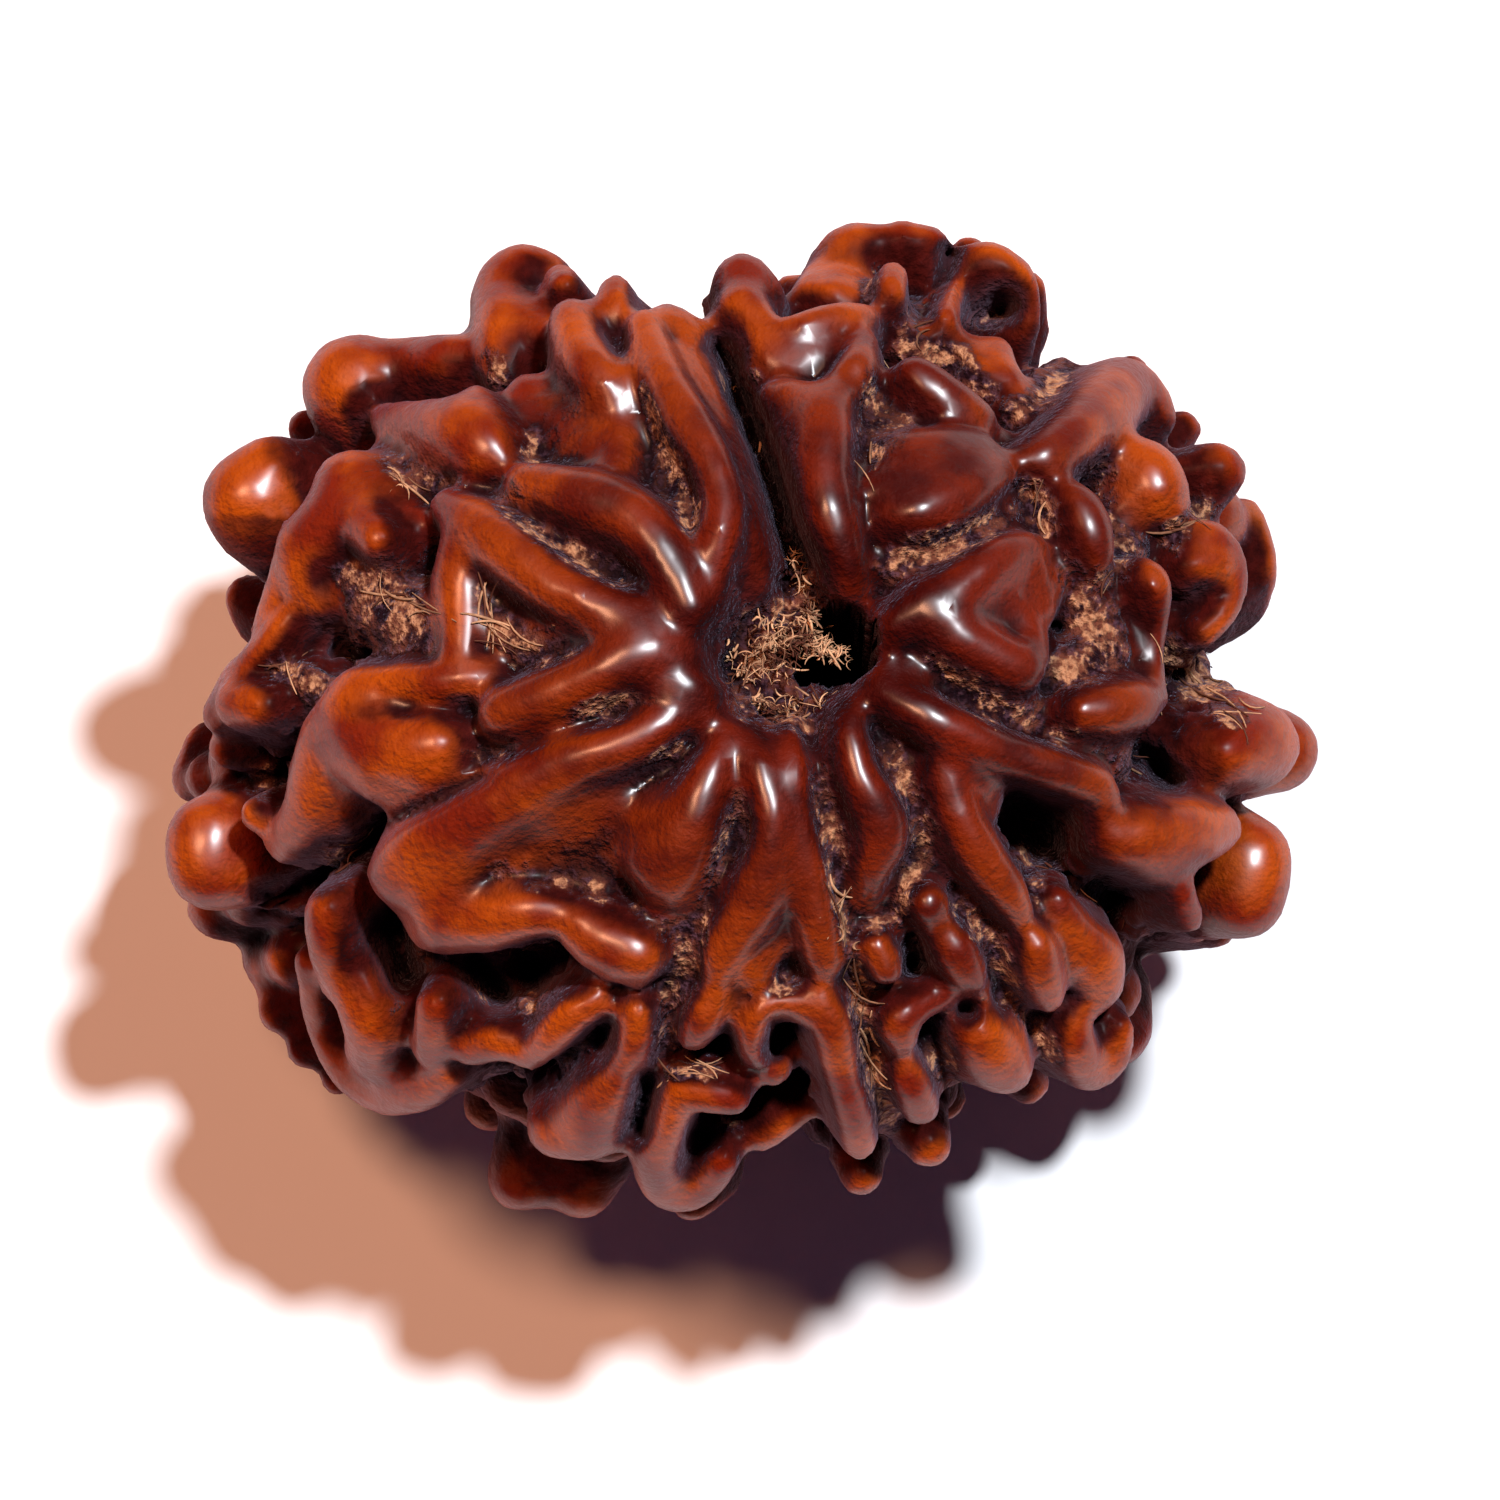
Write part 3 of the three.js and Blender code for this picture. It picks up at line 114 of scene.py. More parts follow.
# Each ridge is a row of places: across, up, half width, and drop below the envelope.
UPPER_LEFT = [
    [[-12.75, 5.7, 1.25, 0], [-12.3, 6.3, 1.0, 0.2], [-11.9, 6.7, 0.6, 0.5]],
    [[-12.8, 5.0, 0.75, 0.4]],
    [[-10.05, 8.65, 1.35, 0], [-9.3, 8.9, 0.95, 0.3], [-8.4, 9.15, 0.75, 0.5],
     [-7.6, 9.3, 0.7, 0.6]],
    [[-9.2, 7.8, 0.45, 0.9], [-8.2, 7.7, 0.6, 0.5], [-7.2, 7.4, 0.85, 0.1], [-6.6, 7.0, 0.75, 0.2]],
    [[-6.9, 8.2, 0.5, 0.4], [-6.75, 7.6, 0.7, 0.2]],
    [[-6.2, 9.4, 0.6, 0.9], [-6.15, 10.2, 0.65, 0.4], [-6.15, 11.0, 0.8, 0.05],
     [-5.8, 11.6, 0.7, 0.05],
     [-5.1, 11.75, 0.45, 0.15], [-4.6, 11.3, 0.42, 0.1]],
    [[-5.3, 10.8, 0.6, 0.6], [-5.2, 9.9, 0.6, 0.9]],
    [[-4.4, 10.35, 0.58, 0], [-4.25, 9.7, 0.62, 0.1], [-3.9, 9.1, 0.6, 0.1], [-3.5, 8.6, 0.6, 0.3],
     [-3.15, 7.9, 0.5, 0.8], [-3.2, 7.0, 0.55, 0.9], [-3.3, 6.4, 0.6, 0.8]],
    [[-5.2, 8.1, 0.8, 1.2], [-4.4, 7.4, 0.85, 1.2], [-3.8, 6.9, 0.8, 1.1]],
    [[-3.3, 11.2, 0.38, 0], [-3.25, 10.6, 0.42, 0.2], [-3.1, 10.0, 0.42, 0.8]],
    [[-5.6, 8.5, 0.5, 0.9], [-5.5, 7.6, 0.55, 1.2]],
    [[-10.2, 6.1, 0.85, 0.1], [-10.45, 5.2, 0.75, 0.1], [-11.1, 4.5, 0.85, 0.1],
     [-11.2, 3.7, 0.6, 0.5], [-10.8, 3.1, 0.5, 0.9]],
    [[-11.6, 4.2, 0.55, 0.3], [-12.0, 3.3, 0.4, 0.6], [-12.3, 2.4, 0.4, 0.7]],
    [[-10.0, 5.5, 0.7, 0.3], [-9.4, 4.7, 0.5, 0.1]],
    [[-9.8, 6.2, 0.7, 0.3], [-8.9, 5.6, 0.5, 0.8], [-8.3, 5.0, 0.45, 1.1]],
    [[-7.6, 5.6, 0.45, 0.5], [-6.9, 5.1, 0.6, 0.2], [-5.9, 4.3, 0.65, 0], [-4.9, 3.5, 0.6, 0],
     [-3.8, 2.95, 0.6, 0.1], [-2.9, 2.5, 0.65, 0.2], [-2.0, 2.0, 0.6, 0.4]],
    [[-5.0, 2.75, 0.5, 1.1], [-4.0, 2.35, 0.55, 0.8], [-2.9, 2.05, 0.5, 0.6]],
    [[-7.0, 4.9, 0.6, 0.4], [-7.3, 3.8, 0.65, 0.6], [-7.2, 2.7, 0.6, 0.7], [-7.3, 1.8, 0.5, 0.6]],
    [[-6.6, 3.9, 0.5, 0.9], [-6.2, 3.0, 0.5, 1.4]],
    [[-5.6, 6.2, 0.5, 0.4], [-4.8, 6.0, 0.6, 0.2], [-3.9, 5.7, 0.7, 0], [-3.0, 5.3, 0.7, 0],
     [-2.3, 4.7, 0.65, 0], [-1.75, 3.8, 0.55, 0.1], [-1.35, 3.0, 0.55, 0.2]],
]

TOP = [
    [[-2.55, 10.25, 0.42, 0.1], [-2.3, 9.5, 0.5, 0.1], [-1.9, 8.6, 0.5, 0], [-1.3, 7.6, 0.55, 0],
     [-0.8, 6.7, 0.5, 0], [-0.5, 5.7, 0.5, 0.1], [-0.55, 4.9, 0.5, 0.1], [-0.75, 4.0, 0.45, 0.4],
     [-0.9, 3.1, 0.45, 0.7]],
    [[-1.95, 10.2, 0.6, 0.4], [-1.35, 9.7, 0.6, 0.7], [-1.1, 8.6, 0.5, 0.7], [-0.6, 7.6, 0.45, 0.9],
     [-0.2, 6.5, 0.45, 1.0], [0.1, 5.4, 0.5, 1.0], [0.2, 4.4, 0.55, 1.2], [0.2, 3.5, 0.5, 1.7]],
    [[0.0, 11.45, 0.68, 0], [0.6, 11.0, 0.5, 0.5]],
    [[0.0, 10.75, 0.6, 0.2], [0.5, 10.1, 0.5, 0.5], [0.8, 9.3, 0.5, 0.8]],
    [[0.9, 9.9, 0.45, 0.6], [1.6, 10.15, 0.45, 0.3], [2.4, 10.45, 0.42, 0.2],
     [3.1, 10.45, 0.4, 0.4]],
    [[1.3, 9.2, 0.6, 0.8], [2.1, 9.5, 0.6, 0.7]],
    [[3.15, 9.8, 0.35, 0.5], [2.95, 9.1, 0.5, 0.1], [2.6, 8.6, 0.5, 0.3], [2.1, 7.9, 0.65, 0.1],
     [2.1, 7.1, 0.65, 0], [2.1, 6.3, 0.6, 0], [2.3, 5.3, 0.6, 0.1], [2.6, 4.4, 0.5, 0.5],
     [2.8, 3.5, 0.4, 1.1]],
    [[0.9, 8.4, 0.45, 0.8], [1.5, 8.1, 0.6, 0.5], [1.5, 7.2, 0.5, 0.7], [1.6, 6.2, 0.45, 0.9]],
    [[3.1, 6.2, 0.4, 0.9], [3.1, 5.3, 0.4, 0.9]],
    [[3.9, 11.55, 0.35, 0], [3.85, 11.0, 0.38, 0.2], [3.8, 10.4, 0.32, 0.9]],
    [[4.15, 12.45, 0.55, 0], [4.25, 11.9, 0.45, 0.4]],
    [[4.85, 12.35, 0.5, 0.8], [5.0, 11.7, 0.45, 1.0]],
    [[2.8, 12.1, 0.75, 0.6], [3.3, 12.3, 0.6, 0.75]],
    [[2.2, 11.5, 0.6, 0.7], [1.8, 11.0, 0.5, 0.9]],
    [[2.8, 11.5, 0.75, 0.65], [2.4, 10.9, 0.6, 0.75]],
    [[4.5, 8.9, 0.55, 0.1], [5.0, 8.45, 0.6, 0.2], [5.6, 8.05, 0.6, 0.4], [6.1, 7.75, 0.5, 0.6]],
    [[6.5, 9.5, 0.5, 0.9], [6.8, 8.8, 0.45, 1.0]],
    [[5.2, 10.4, 0.4, 0.6], [5.35, 11.1, 0.45, 0.4], [5.85, 11.75, 0.55, 0.1],
     [6.5, 11.85, 0.55, 0],
     [7.1, 11.45, 0.5, 0.1], [7.35, 10.9, 0.4, 0.3], [7.4, 10.3, 0.32, 0.8]],
]

RIGHT = [
    [[7.75, 6.75, 0.6, 0.1], [8.4, 7.25, 0.65, 0], [9.2, 8.0, 0.75, 0], [9.85, 8.55, 0.85, 0],
     [10.7, 7.9, 0.55, 0.5]],
    [[12.35, 6.5, 0.68, 0.5]],
    [[10.45, 6.4, 0.85, 0], [10.65, 6.0, 0.85, 0]],
    [[11.5, 6.5, 0.45, 0.6]],
    [[8.6, 5.55, 0.6, 0.1], [8.95, 4.9, 0.62, 0], [9.1, 4.2, 0.5, 0.3]],
    [[11.5, 4.5, 0.45, 0.5], [12.0, 4.75, 0.5, 0.1], [12.5, 4.35, 0.5, 0], [12.7, 3.6, 0.4, 0.2],
     [12.4, 2.8, 0.38, 0.5], [11.9, 2.3, 0.35, 0.9]],
    [[11.6, 4.0, 0.5, 0.4], [12.2, 4.1, 0.5, 0.1]],
    [[10.35, 3.85, 0.42, 0.3], [10.6, 3.5, 0.52, 0], [10.7, 2.9, 0.4, 0.4], [10.6, 2.1, 0.33, 0.8],
     [10.6, 1.3, 0.33, 0.8], [10.6, 0.6, 0.42, 0.5]],
    [[10.2, 0.45, 0.6, 0.1], [9.5, 0.3, 0.65, 0], [8.8, 0.25, 0.5, 0.1]],
    [[12.4, -0.8, 0.7, 0.3], [13.1, -0.55, 1.1, 0], [13.3, -0.6, 1.1, 0]],
    [[3.9, 5.3, 0.5, 0.3], [4.6, 5.4, 0.62, 0], [5.5, 5.8, 0.62, 0], [6.3, 6.25, 0.5, 0.2],
     [6.9, 6.6, 0.35, 0.6]],
    [[3.7, 5.9, 0.6, 0.4], [4.8, 6.3, 0.7, 0.15], [5.9, 6.7, 0.6, 0.25]],
    [[4.1, 6.8, 0.6, 0.4], [5.2, 7.0, 0.6, 0.35], [6.1, 7.0, 0.5, 0.45]],
    [[4.0, 2.5, 0.45, 0.5], [4.8, 2.95, 0.6, 0.1], [5.6, 3.4, 0.6, 0], [6.3, 3.95, 0.55, 0],
     [7.0, 4.4, 0.5, 0.25], [7.5, 4.5, 0.4, 0.5]],
    [[4.9, 2.8, 0.6, 0.1], [5.6, 2.2, 0.62, 0], [6.4, 1.75, 0.62, 0], [7.15, 1.35, 0.58, 0.05]],
    [[6.2, 2.9, 0.6, 0.6], [6.9, 2.7, 0.6, 0.75], [7.4, 2.3, 0.5, 0.6], [7.5, 1.7, 0.45, 0.25]],
    [[6.6, 3.4, 0.6, 0.6], [7.2, 3.4, 0.6, 0.8], [7.5, 3.9, 0.45, 0.6]],
    [[7.7, 2.9, 0.4, 0.8], [8.0, 3.7, 0.4, 1.0]],
    [[3.5, 0.9, 0.38, 0.8], [4.2, 0.45, 0.48, 0.3], [5.0, 0.0, 0.52, 0], [5.8, -0.4, 0.52, 0],
     [7.0, -0.9, 0.48, 0.1], [8.2, -1.3, 0.5, 0.1], [9.2, -1.7, 0.5, 0.2], [9.3, -2.3, 0.45, 0.4],
     [9.6, -3.0, 0.6, 0.2], [10.6, -3.0, 0.85, 0], [11.6, -2.85, 0.8, 0.1],
     [12.4, -2.75, 0.55, 0.3]],
    [[3.7, 1.4, 0.4, 1.0], [4.5, 1.0, 0.4, 0.9]],
    [[10.2, -2.5, 0.5, 0.3], [10.6, -3.4, 0.75, 0.2], [11.3, -3.4, 0.5, 0.3]],
    [[5.2, -1.2, 0.5, 0.4], [5.6, -2.4, 0.55, 0.2], [6.2, -3.5, 0.55, 0.1], [6.8, -4.3, 0.5, 0.1],
     [7.15, -4.9, 0.38, 0.3]],
    [[5.9, -1.3, 0.5, 0.6], [6.3, -2.1, 0.45, 0.9]],
    [[13.15, -3.6, 1.1, 0], [13.0, -4.6, 1.0, 0]],
    [[11.35, -4.4, 0.38, 0.1], [11.6, -5.1, 0.34, 0.15]],
]

LOWER_RIGHT = [
    [[7.6, -5.8, 0.48, 0], [7.72, -6.5, 0.56, 0], [7.95, -7.1, 0.4, 0.2]],
    [[8.1, -4.6, 0.38, 0.7], [8.6, -5.4, 0.55, 0.5], [9.1, -6.2, 0.75, 0.3],
     [9.15, -6.9, 0.6, 0.4]],
    [[8.5, -7.7, 0.45, 0.3], [8.6, -8.4, 0.55, 0], [9.0, -8.95, 0.58, 0], [9.6, -8.6, 0.48, 0],
     [9.8, -7.9, 0.32, 0.25]],
    [[4.8, -4.7, 0.5, 0.2], [5.05, -5.25, 0.33, 0.5], [5.5, -5.9, 0.52, 0.1],
     [5.9, -6.6, 0.42, 0.2]],
    [[6.1, -7.0, 0.3, 0.7], [5.3, -7.0, 0.35, 0.6], [4.6, -7.3, 0.4, 0.4], [4.05, -7.7, 0.5, 0.1],
     [4.15, -8.2, 0.36, 0.2]],
    [[3.45, -5.8, 0.42, 0.3], [3.75, -6.4, 0.4, 0.1]],
    [[4.2, -8.95, 0.42, 0.2], [4.4, -9.4, 0.5, 0], [4.65, -10.0, 0.46, 0.1]],
    [[4.85, -10.95, 0.58, 0.3]],
    [[5.95, -7.9, 0.6, 0.2], [6.4, -8.4, 0.82, 0], [6.85, -8.95, 0.65, 0.1]],
    [[2.0, -7.2, 0.5, 0.3], [2.3, -7.8, 0.5, 0.1], [2.5, -8.8, 0.45, 0.1], [2.85, -10.0, 0.42, 0],
     [3.05, -10.9, 0.42, 0]],
    [[3.1, -11.75, 0.52, 0.4]],
    [[2.0, -7.3, 0.5, 0.4], [1.1, -7.35, 0.4, 0.3], [0.45, -7.6, 0.38, 0.2], [0.3, -8.2, 0.34, 0.2],
     [0.4, -8.7, 0.3, 0.5]],
    [[0.8, -8.95, 0.45, 0.8]],
    [[2.75, 0.4, 0.35, 0.9], [2.8, -0.4, 0.4, 0.4], [3.0, -1.3, 0.45, 0.1], [3.4, -2.15, 0.55, 0],
     [3.65, -2.9, 0.6, 0.1], [3.35, -3.7, 0.5, 0.4], [3.25, -4.4, 0.36, 0.9]],
]

LOWER_LEFT = [
    [[-6.2, 0.25, 0.58, 0.1], [-5.2, 0.6, 0.6, 0], [-4.0, 1.1, 0.6, 0], [-2.9, 1.65, 0.65, 0],
     [-2.2, 1.75, 0.6, 0.2], [-1.5, 1.7, 0.5, 0.7]],
    [[-2.8, 0.45, 0.35, 1.0], [-1.95, 0.85, 0.45, 0.4], [-1.35, 0.85, 0.5, 0.5],
     [-1.0, 0.6, 0.4, 0.8]],
    [[-1.2, 0.35, 0.4, 0.7], [-2.1, -0.05, 0.5, 0.3], [-3.0, -0.6, 0.55, 0.1],
     [-4.1, -0.95, 0.6, 0],
     [-5.2, -1.45, 0.65, 0], [-6.3, -2.1, 0.75, 0], [-7.3, -2.7, 0.85, 0], [-8.3, -3.2, 0.9, 0],
     [-8.8, -3.9, 0.8, 0.2]],
    [[-5.4, -2.4, 0.7, 0.7], [-4.4, -2.1, 0.75, 0.8], [-3.4, -1.9, 0.7, 1.0],
     [-2.6, -1.5, 0.4, 1.3]],
    [[-5.8, -3.1, 0.8, 0.9], [-4.6, -3.1, 0.75, 1.2], [-3.5, -3.0, 0.7, 1.3]],
    [[-7.3, -3.2, 0.9, 0.3], [-7.7, -4.2, 1.0, 0.2], [-7.9, -5.1, 0.8, 0.4]],
    [[-7.9, -5.0, 0.8, 0.4], [-6.9, -5.1, 0.75, 0.2], [-5.7, -4.9, 0.65, 0.2],
     [-4.6, -5.0, 0.5, 0.4],
     [-3.5, -5.7, 0.75, 0.1], [-2.7, -6.0, 0.68, 0]],
    [[-0.4, -0.3, 0.3, 0.9], [-0.8, -1.3, 0.48, 0.3], [-1.2, -2.3, 0.65, 0.1],
     [-1.6, -3.3, 0.75, 0.1],
     [-1.85, -4.0, 0.75, 0.3]],
    [[-1.6, -1.8, 0.45, 0.8], [-2.1, -2.7, 0.65, 0.5], [-2.35, -3.6, 0.65, 0.4]],
    [[0.1, -0.5, 0.4, 1.0], [0.45, -1.2, 0.35, 0.4], [0.7, -2.2, 0.4, 0.1], [0.75, -3.1, 0.45, 0],
     [0.55, -4.0, 0.6, 0.1], [0.15, -4.9, 0.65, 0.2], [-0.35, -5.7, 0.55, 0.2],
     [-0.6, -6.4, 0.4, 0.3]],
    [[1.0, -4.6, 0.4, 0.9], [0.8, -5.6, 0.4, 0.9], [0.3, -6.4, 0.4, 0.5]],
    [[1.2, -0.5, 0.3, 1.0], [1.35, -1.3, 0.3, 0.5], [1.35, -2.2, 0.36, 0.4],
     [1.55, -3.3, 0.42, 0.3],
     [1.8, -4.4, 0.45, 0.3], [1.95, -5.3, 0.52, 0.2], [2.15, -6.1, 0.5, 0.3]],
    [[-0.75, -7.1, 0.38, 0.3], [-1.0, -7.7, 0.42, 0.1], [-1.25, -8.15, 0.36, 0.3]],
    [[-1.6, -9.5, 0.48, 0.2], [-2.0, -10.5, 0.52, 0], [-2.2, -11.4, 0.58, 0],
     [-1.75, -12.05, 0.62, 0],
     [-0.95, -11.95, 0.45, 0.1], [-0.5, -11.35, 0.4, 0.3]],
    [[-1.6, -9.5, 0.48, 0.2], [-0.9, -9.6, 0.48, 0.1], [-0.25, -9.75, 0.42, 0.1]],
    [[0.5, -10.6, 0.5, 1.0], [1.3, -10.1, 0.45, 1.3]],
    [[-3.8, -7.2, 0.42, 0.4], [-4.4, -7.6, 0.45, 0.1], [-5.0, -8.2, 0.42, 0.1],
     [-5.5, -8.7, 0.3, 0.4]],
    [[-2.7, -7.5, 0.38, 0.2], [-2.75, -8.2, 0.42, 0.1], [-3.1, -9.1, 0.5, 0.1],
     [-3.7, -9.8, 0.75, 0],
     [-4.0, -10.3, 0.8, 0]],
    [[-3.9, -10.5, 0.75, 0], [-4.75, -10.5, 0.75, 0]],
    [[-7.0, -8.4, 0.5, 0.4], [-6.2, -8.2, 0.5, 0.4], [-5.6, -8.5, 0.4, 0.6]],
    [[-7.9, -7.3, 0.5, 0.1], [-8.0, -7.9, 0.5, 0.1], [-8.0, -8.5, 0.5, 0.3]],
    [[-9.8, -6.9, 0.72, 0.2], [-9.5, -7.7, 0.75, 0], [-9.5, -8.5, 0.7, 0.1]],
    [[-10.7, -4.9, 0.6, 0.1], [-10.6, -5.7, 0.62, 0.1], [-10.4, -6.7, 0.55, 0.4]],
    [[-11.2, -6.2, 0.4, 0.6], [-10.8, -7.6, 0.55, 0.4], [-10.2, -8.8, 0.6, 0.2],
     [-9.3, -9.4, 0.68, 0],
     [-8.3, -9.4, 0.62, 0.1], [-7.6, -9.0, 0.5, 0.4]],
    [[-13.9, -3.0, 1.0, 0], [-13.85, -3.8, 1.0, 0]],
    [[-12.6, -2.4, 0.42, 0.7]],
    [[-9.9, 0.2, 1.0, 0.1], [-9.4, -0.5, 1.1, 0], [-8.4, -0.8, 0.95, 0], [-7.6, -0.6, 0.6, 0.3]],
    [[-9.9, 0.5, 0.8, 0.3], [-9.0, 1.0, 0.45, 0.4], [-7.6, 1.05, 0.45, 0.4],
     [-6.6, 1.2, 0.45, 0.8]],
    [[-8.4, 0.4, 0.6, 0.8]],
    [[-9.5, -0.8, 1.0, 0.1], [-9.0, -1.5, 0.6, 0.5]],
    [[-10.5, -0.3, 0.8, 0.4], [-10.8, -1.3, 0.8, 0.6], [-11.1, -2.3, 0.7, 0.8],
     [-11.8, -3.1, 0.55, 1.0]],
    [[-10.2, -1.5, 0.7, 0.9], [-10.4, -2.4, 0.6, 1.2]],
    [[-13.05, 0.45, 0.6, 0], [-12.4, 0.4, 0.55, 0.2]],
    [[-13.5, 0.2, 0.5, 0.3], [-13.1, 1.1, 0.4, 0.4], [-12.3, 1.9, 0.4, 0.5],
     [-11.7, 2.6, 0.45, 0.7]],
    [[-13.4, -0.7, 0.45, 0.7]],
]

# Knobs of the layer underneath, seen past the edge of the upper ones.
UNDER_RIM = [
    [[-11.3, 7.6, 0.5, 0]],
    [[-12.8, 3.2, 0.6, 0], [-12.6, 2.5, 0.5, 0.3]],
    [[-14.2, -1.5, 0.6, 0], [-13.9, -0.5, 0.5, 0.2]],
    [[-13.6, -4.8, 0.75, 0], [-13.0, -5.2, 0.5, 0.2]],
    [[-12.2, -6.2, 0.7, 0], [-11.7, -6.6, 0.5, 0.3]],
    [[-12.0, -7.5, 0.55, 0]],
    [[-11.3, -8.5, 0.5, 0]],
    [[-10.5, -9.3, 0.4, 0]],
    [[-6.5, -9.9, 0.7, 0]],
    [[-5.75, -11.85, 0.8, 0], [-5.0, -11.75, 0.65, 0.5], [-4.15, -12.1, 0.75, 0]],
    [[-1.3, -12.4, 0.55, 0], [-0.5, -11.9, 0.45, 0.3]],
    [[7.4, -9.35, 0.55, 0.2]],
    [[5.3, -9.8, 0.5, 0.6]],
    [[10.0, -6.9, 0.6, 0.2], [9.9, -7.9, 0.7, 0], [9.8, -8.4, 0.5, 0.2]],
    [[10.3, -5.6, 0.45, 0.6], [11.3, -5.45, 0.5, 0.3], [12.3, -5.35, 0.5, 0.2]],
    [[13.85, -0.75, 1.08, 0]],
    [[13.0, 5.3, 0.5, 0.2], [13.35, 4.2, 0.52, 0], [13.15, 3.1, 0.5, 0.2], [12.6, 2.5, 0.4, 0.5]],
    [[11.4, 7.6, 0.5, 0.2]],
    [[10.1, 9.0, 0.5, 0.3]],
    [[7.4, 11.2, 0.5, 0], [7.6, 10.1, 0.35, 0.5]],
    [[5.9, 12.1, 0.5, 0.2]],
    [[1.2, 11.2, 0.4, 1.2]],
    [[-5.2, 11.2, 0.6, 0.2]],
    [[-8.0, 9.45, 0.5, 0.6]],
]

# Clefts sunk below the valley floor: across, up, half width and extra depth.
CLEFTS = [
    [[1.2, 3.9, 0.4, 1.2], [1.0, 5.2, 0.45, 1.8], [0.6, 6.5, 0.4, 1.8], [0.3, 7.6, 0.35, 1.6],
     [-0.1, 8.7, 0.4, 1.4], [-0.5, 9.4, 0.4, 1.4]],
    [[7.4, -2.4, 0.7, 1.8], [8.2, -3.4, 0.8, 2.2], [9.4, -4.6, 0.8, 2.2]],
    [[-9.3, -5.2, 0.6, 2.2], [-8.9, -6.6, 0.6, 2.2]],
    [[-12.4, -4.3, 0.6, 1.0], [-10.4, -3.7, 0.5, 1.2], [-8.9, -2.6, 0.4, 0.8]],
    [[10.6, -1.4, 0.5, 0.8], [9.0, -0.9, 0.3, 0.8]],
    [[4.6, -1.5, 0.25, 0.8], [5.1, -4.0, 0.3, 0.8]],
    [[-2.6, -9.6, 0.4, 1.6], [-2.8, -10.6, 0.5, 1.6]],
    [[-0.9, -10.6, 0.3, 0.8]],
    [[-7.0, -6.4, 0.6, 1.8], [-6.2, -7.1, 0.6, 1.8], [-5.2, -6.6, 0.5, 1.4]],
    [[6.4, 10.7, 0.6, 2.2]],
]

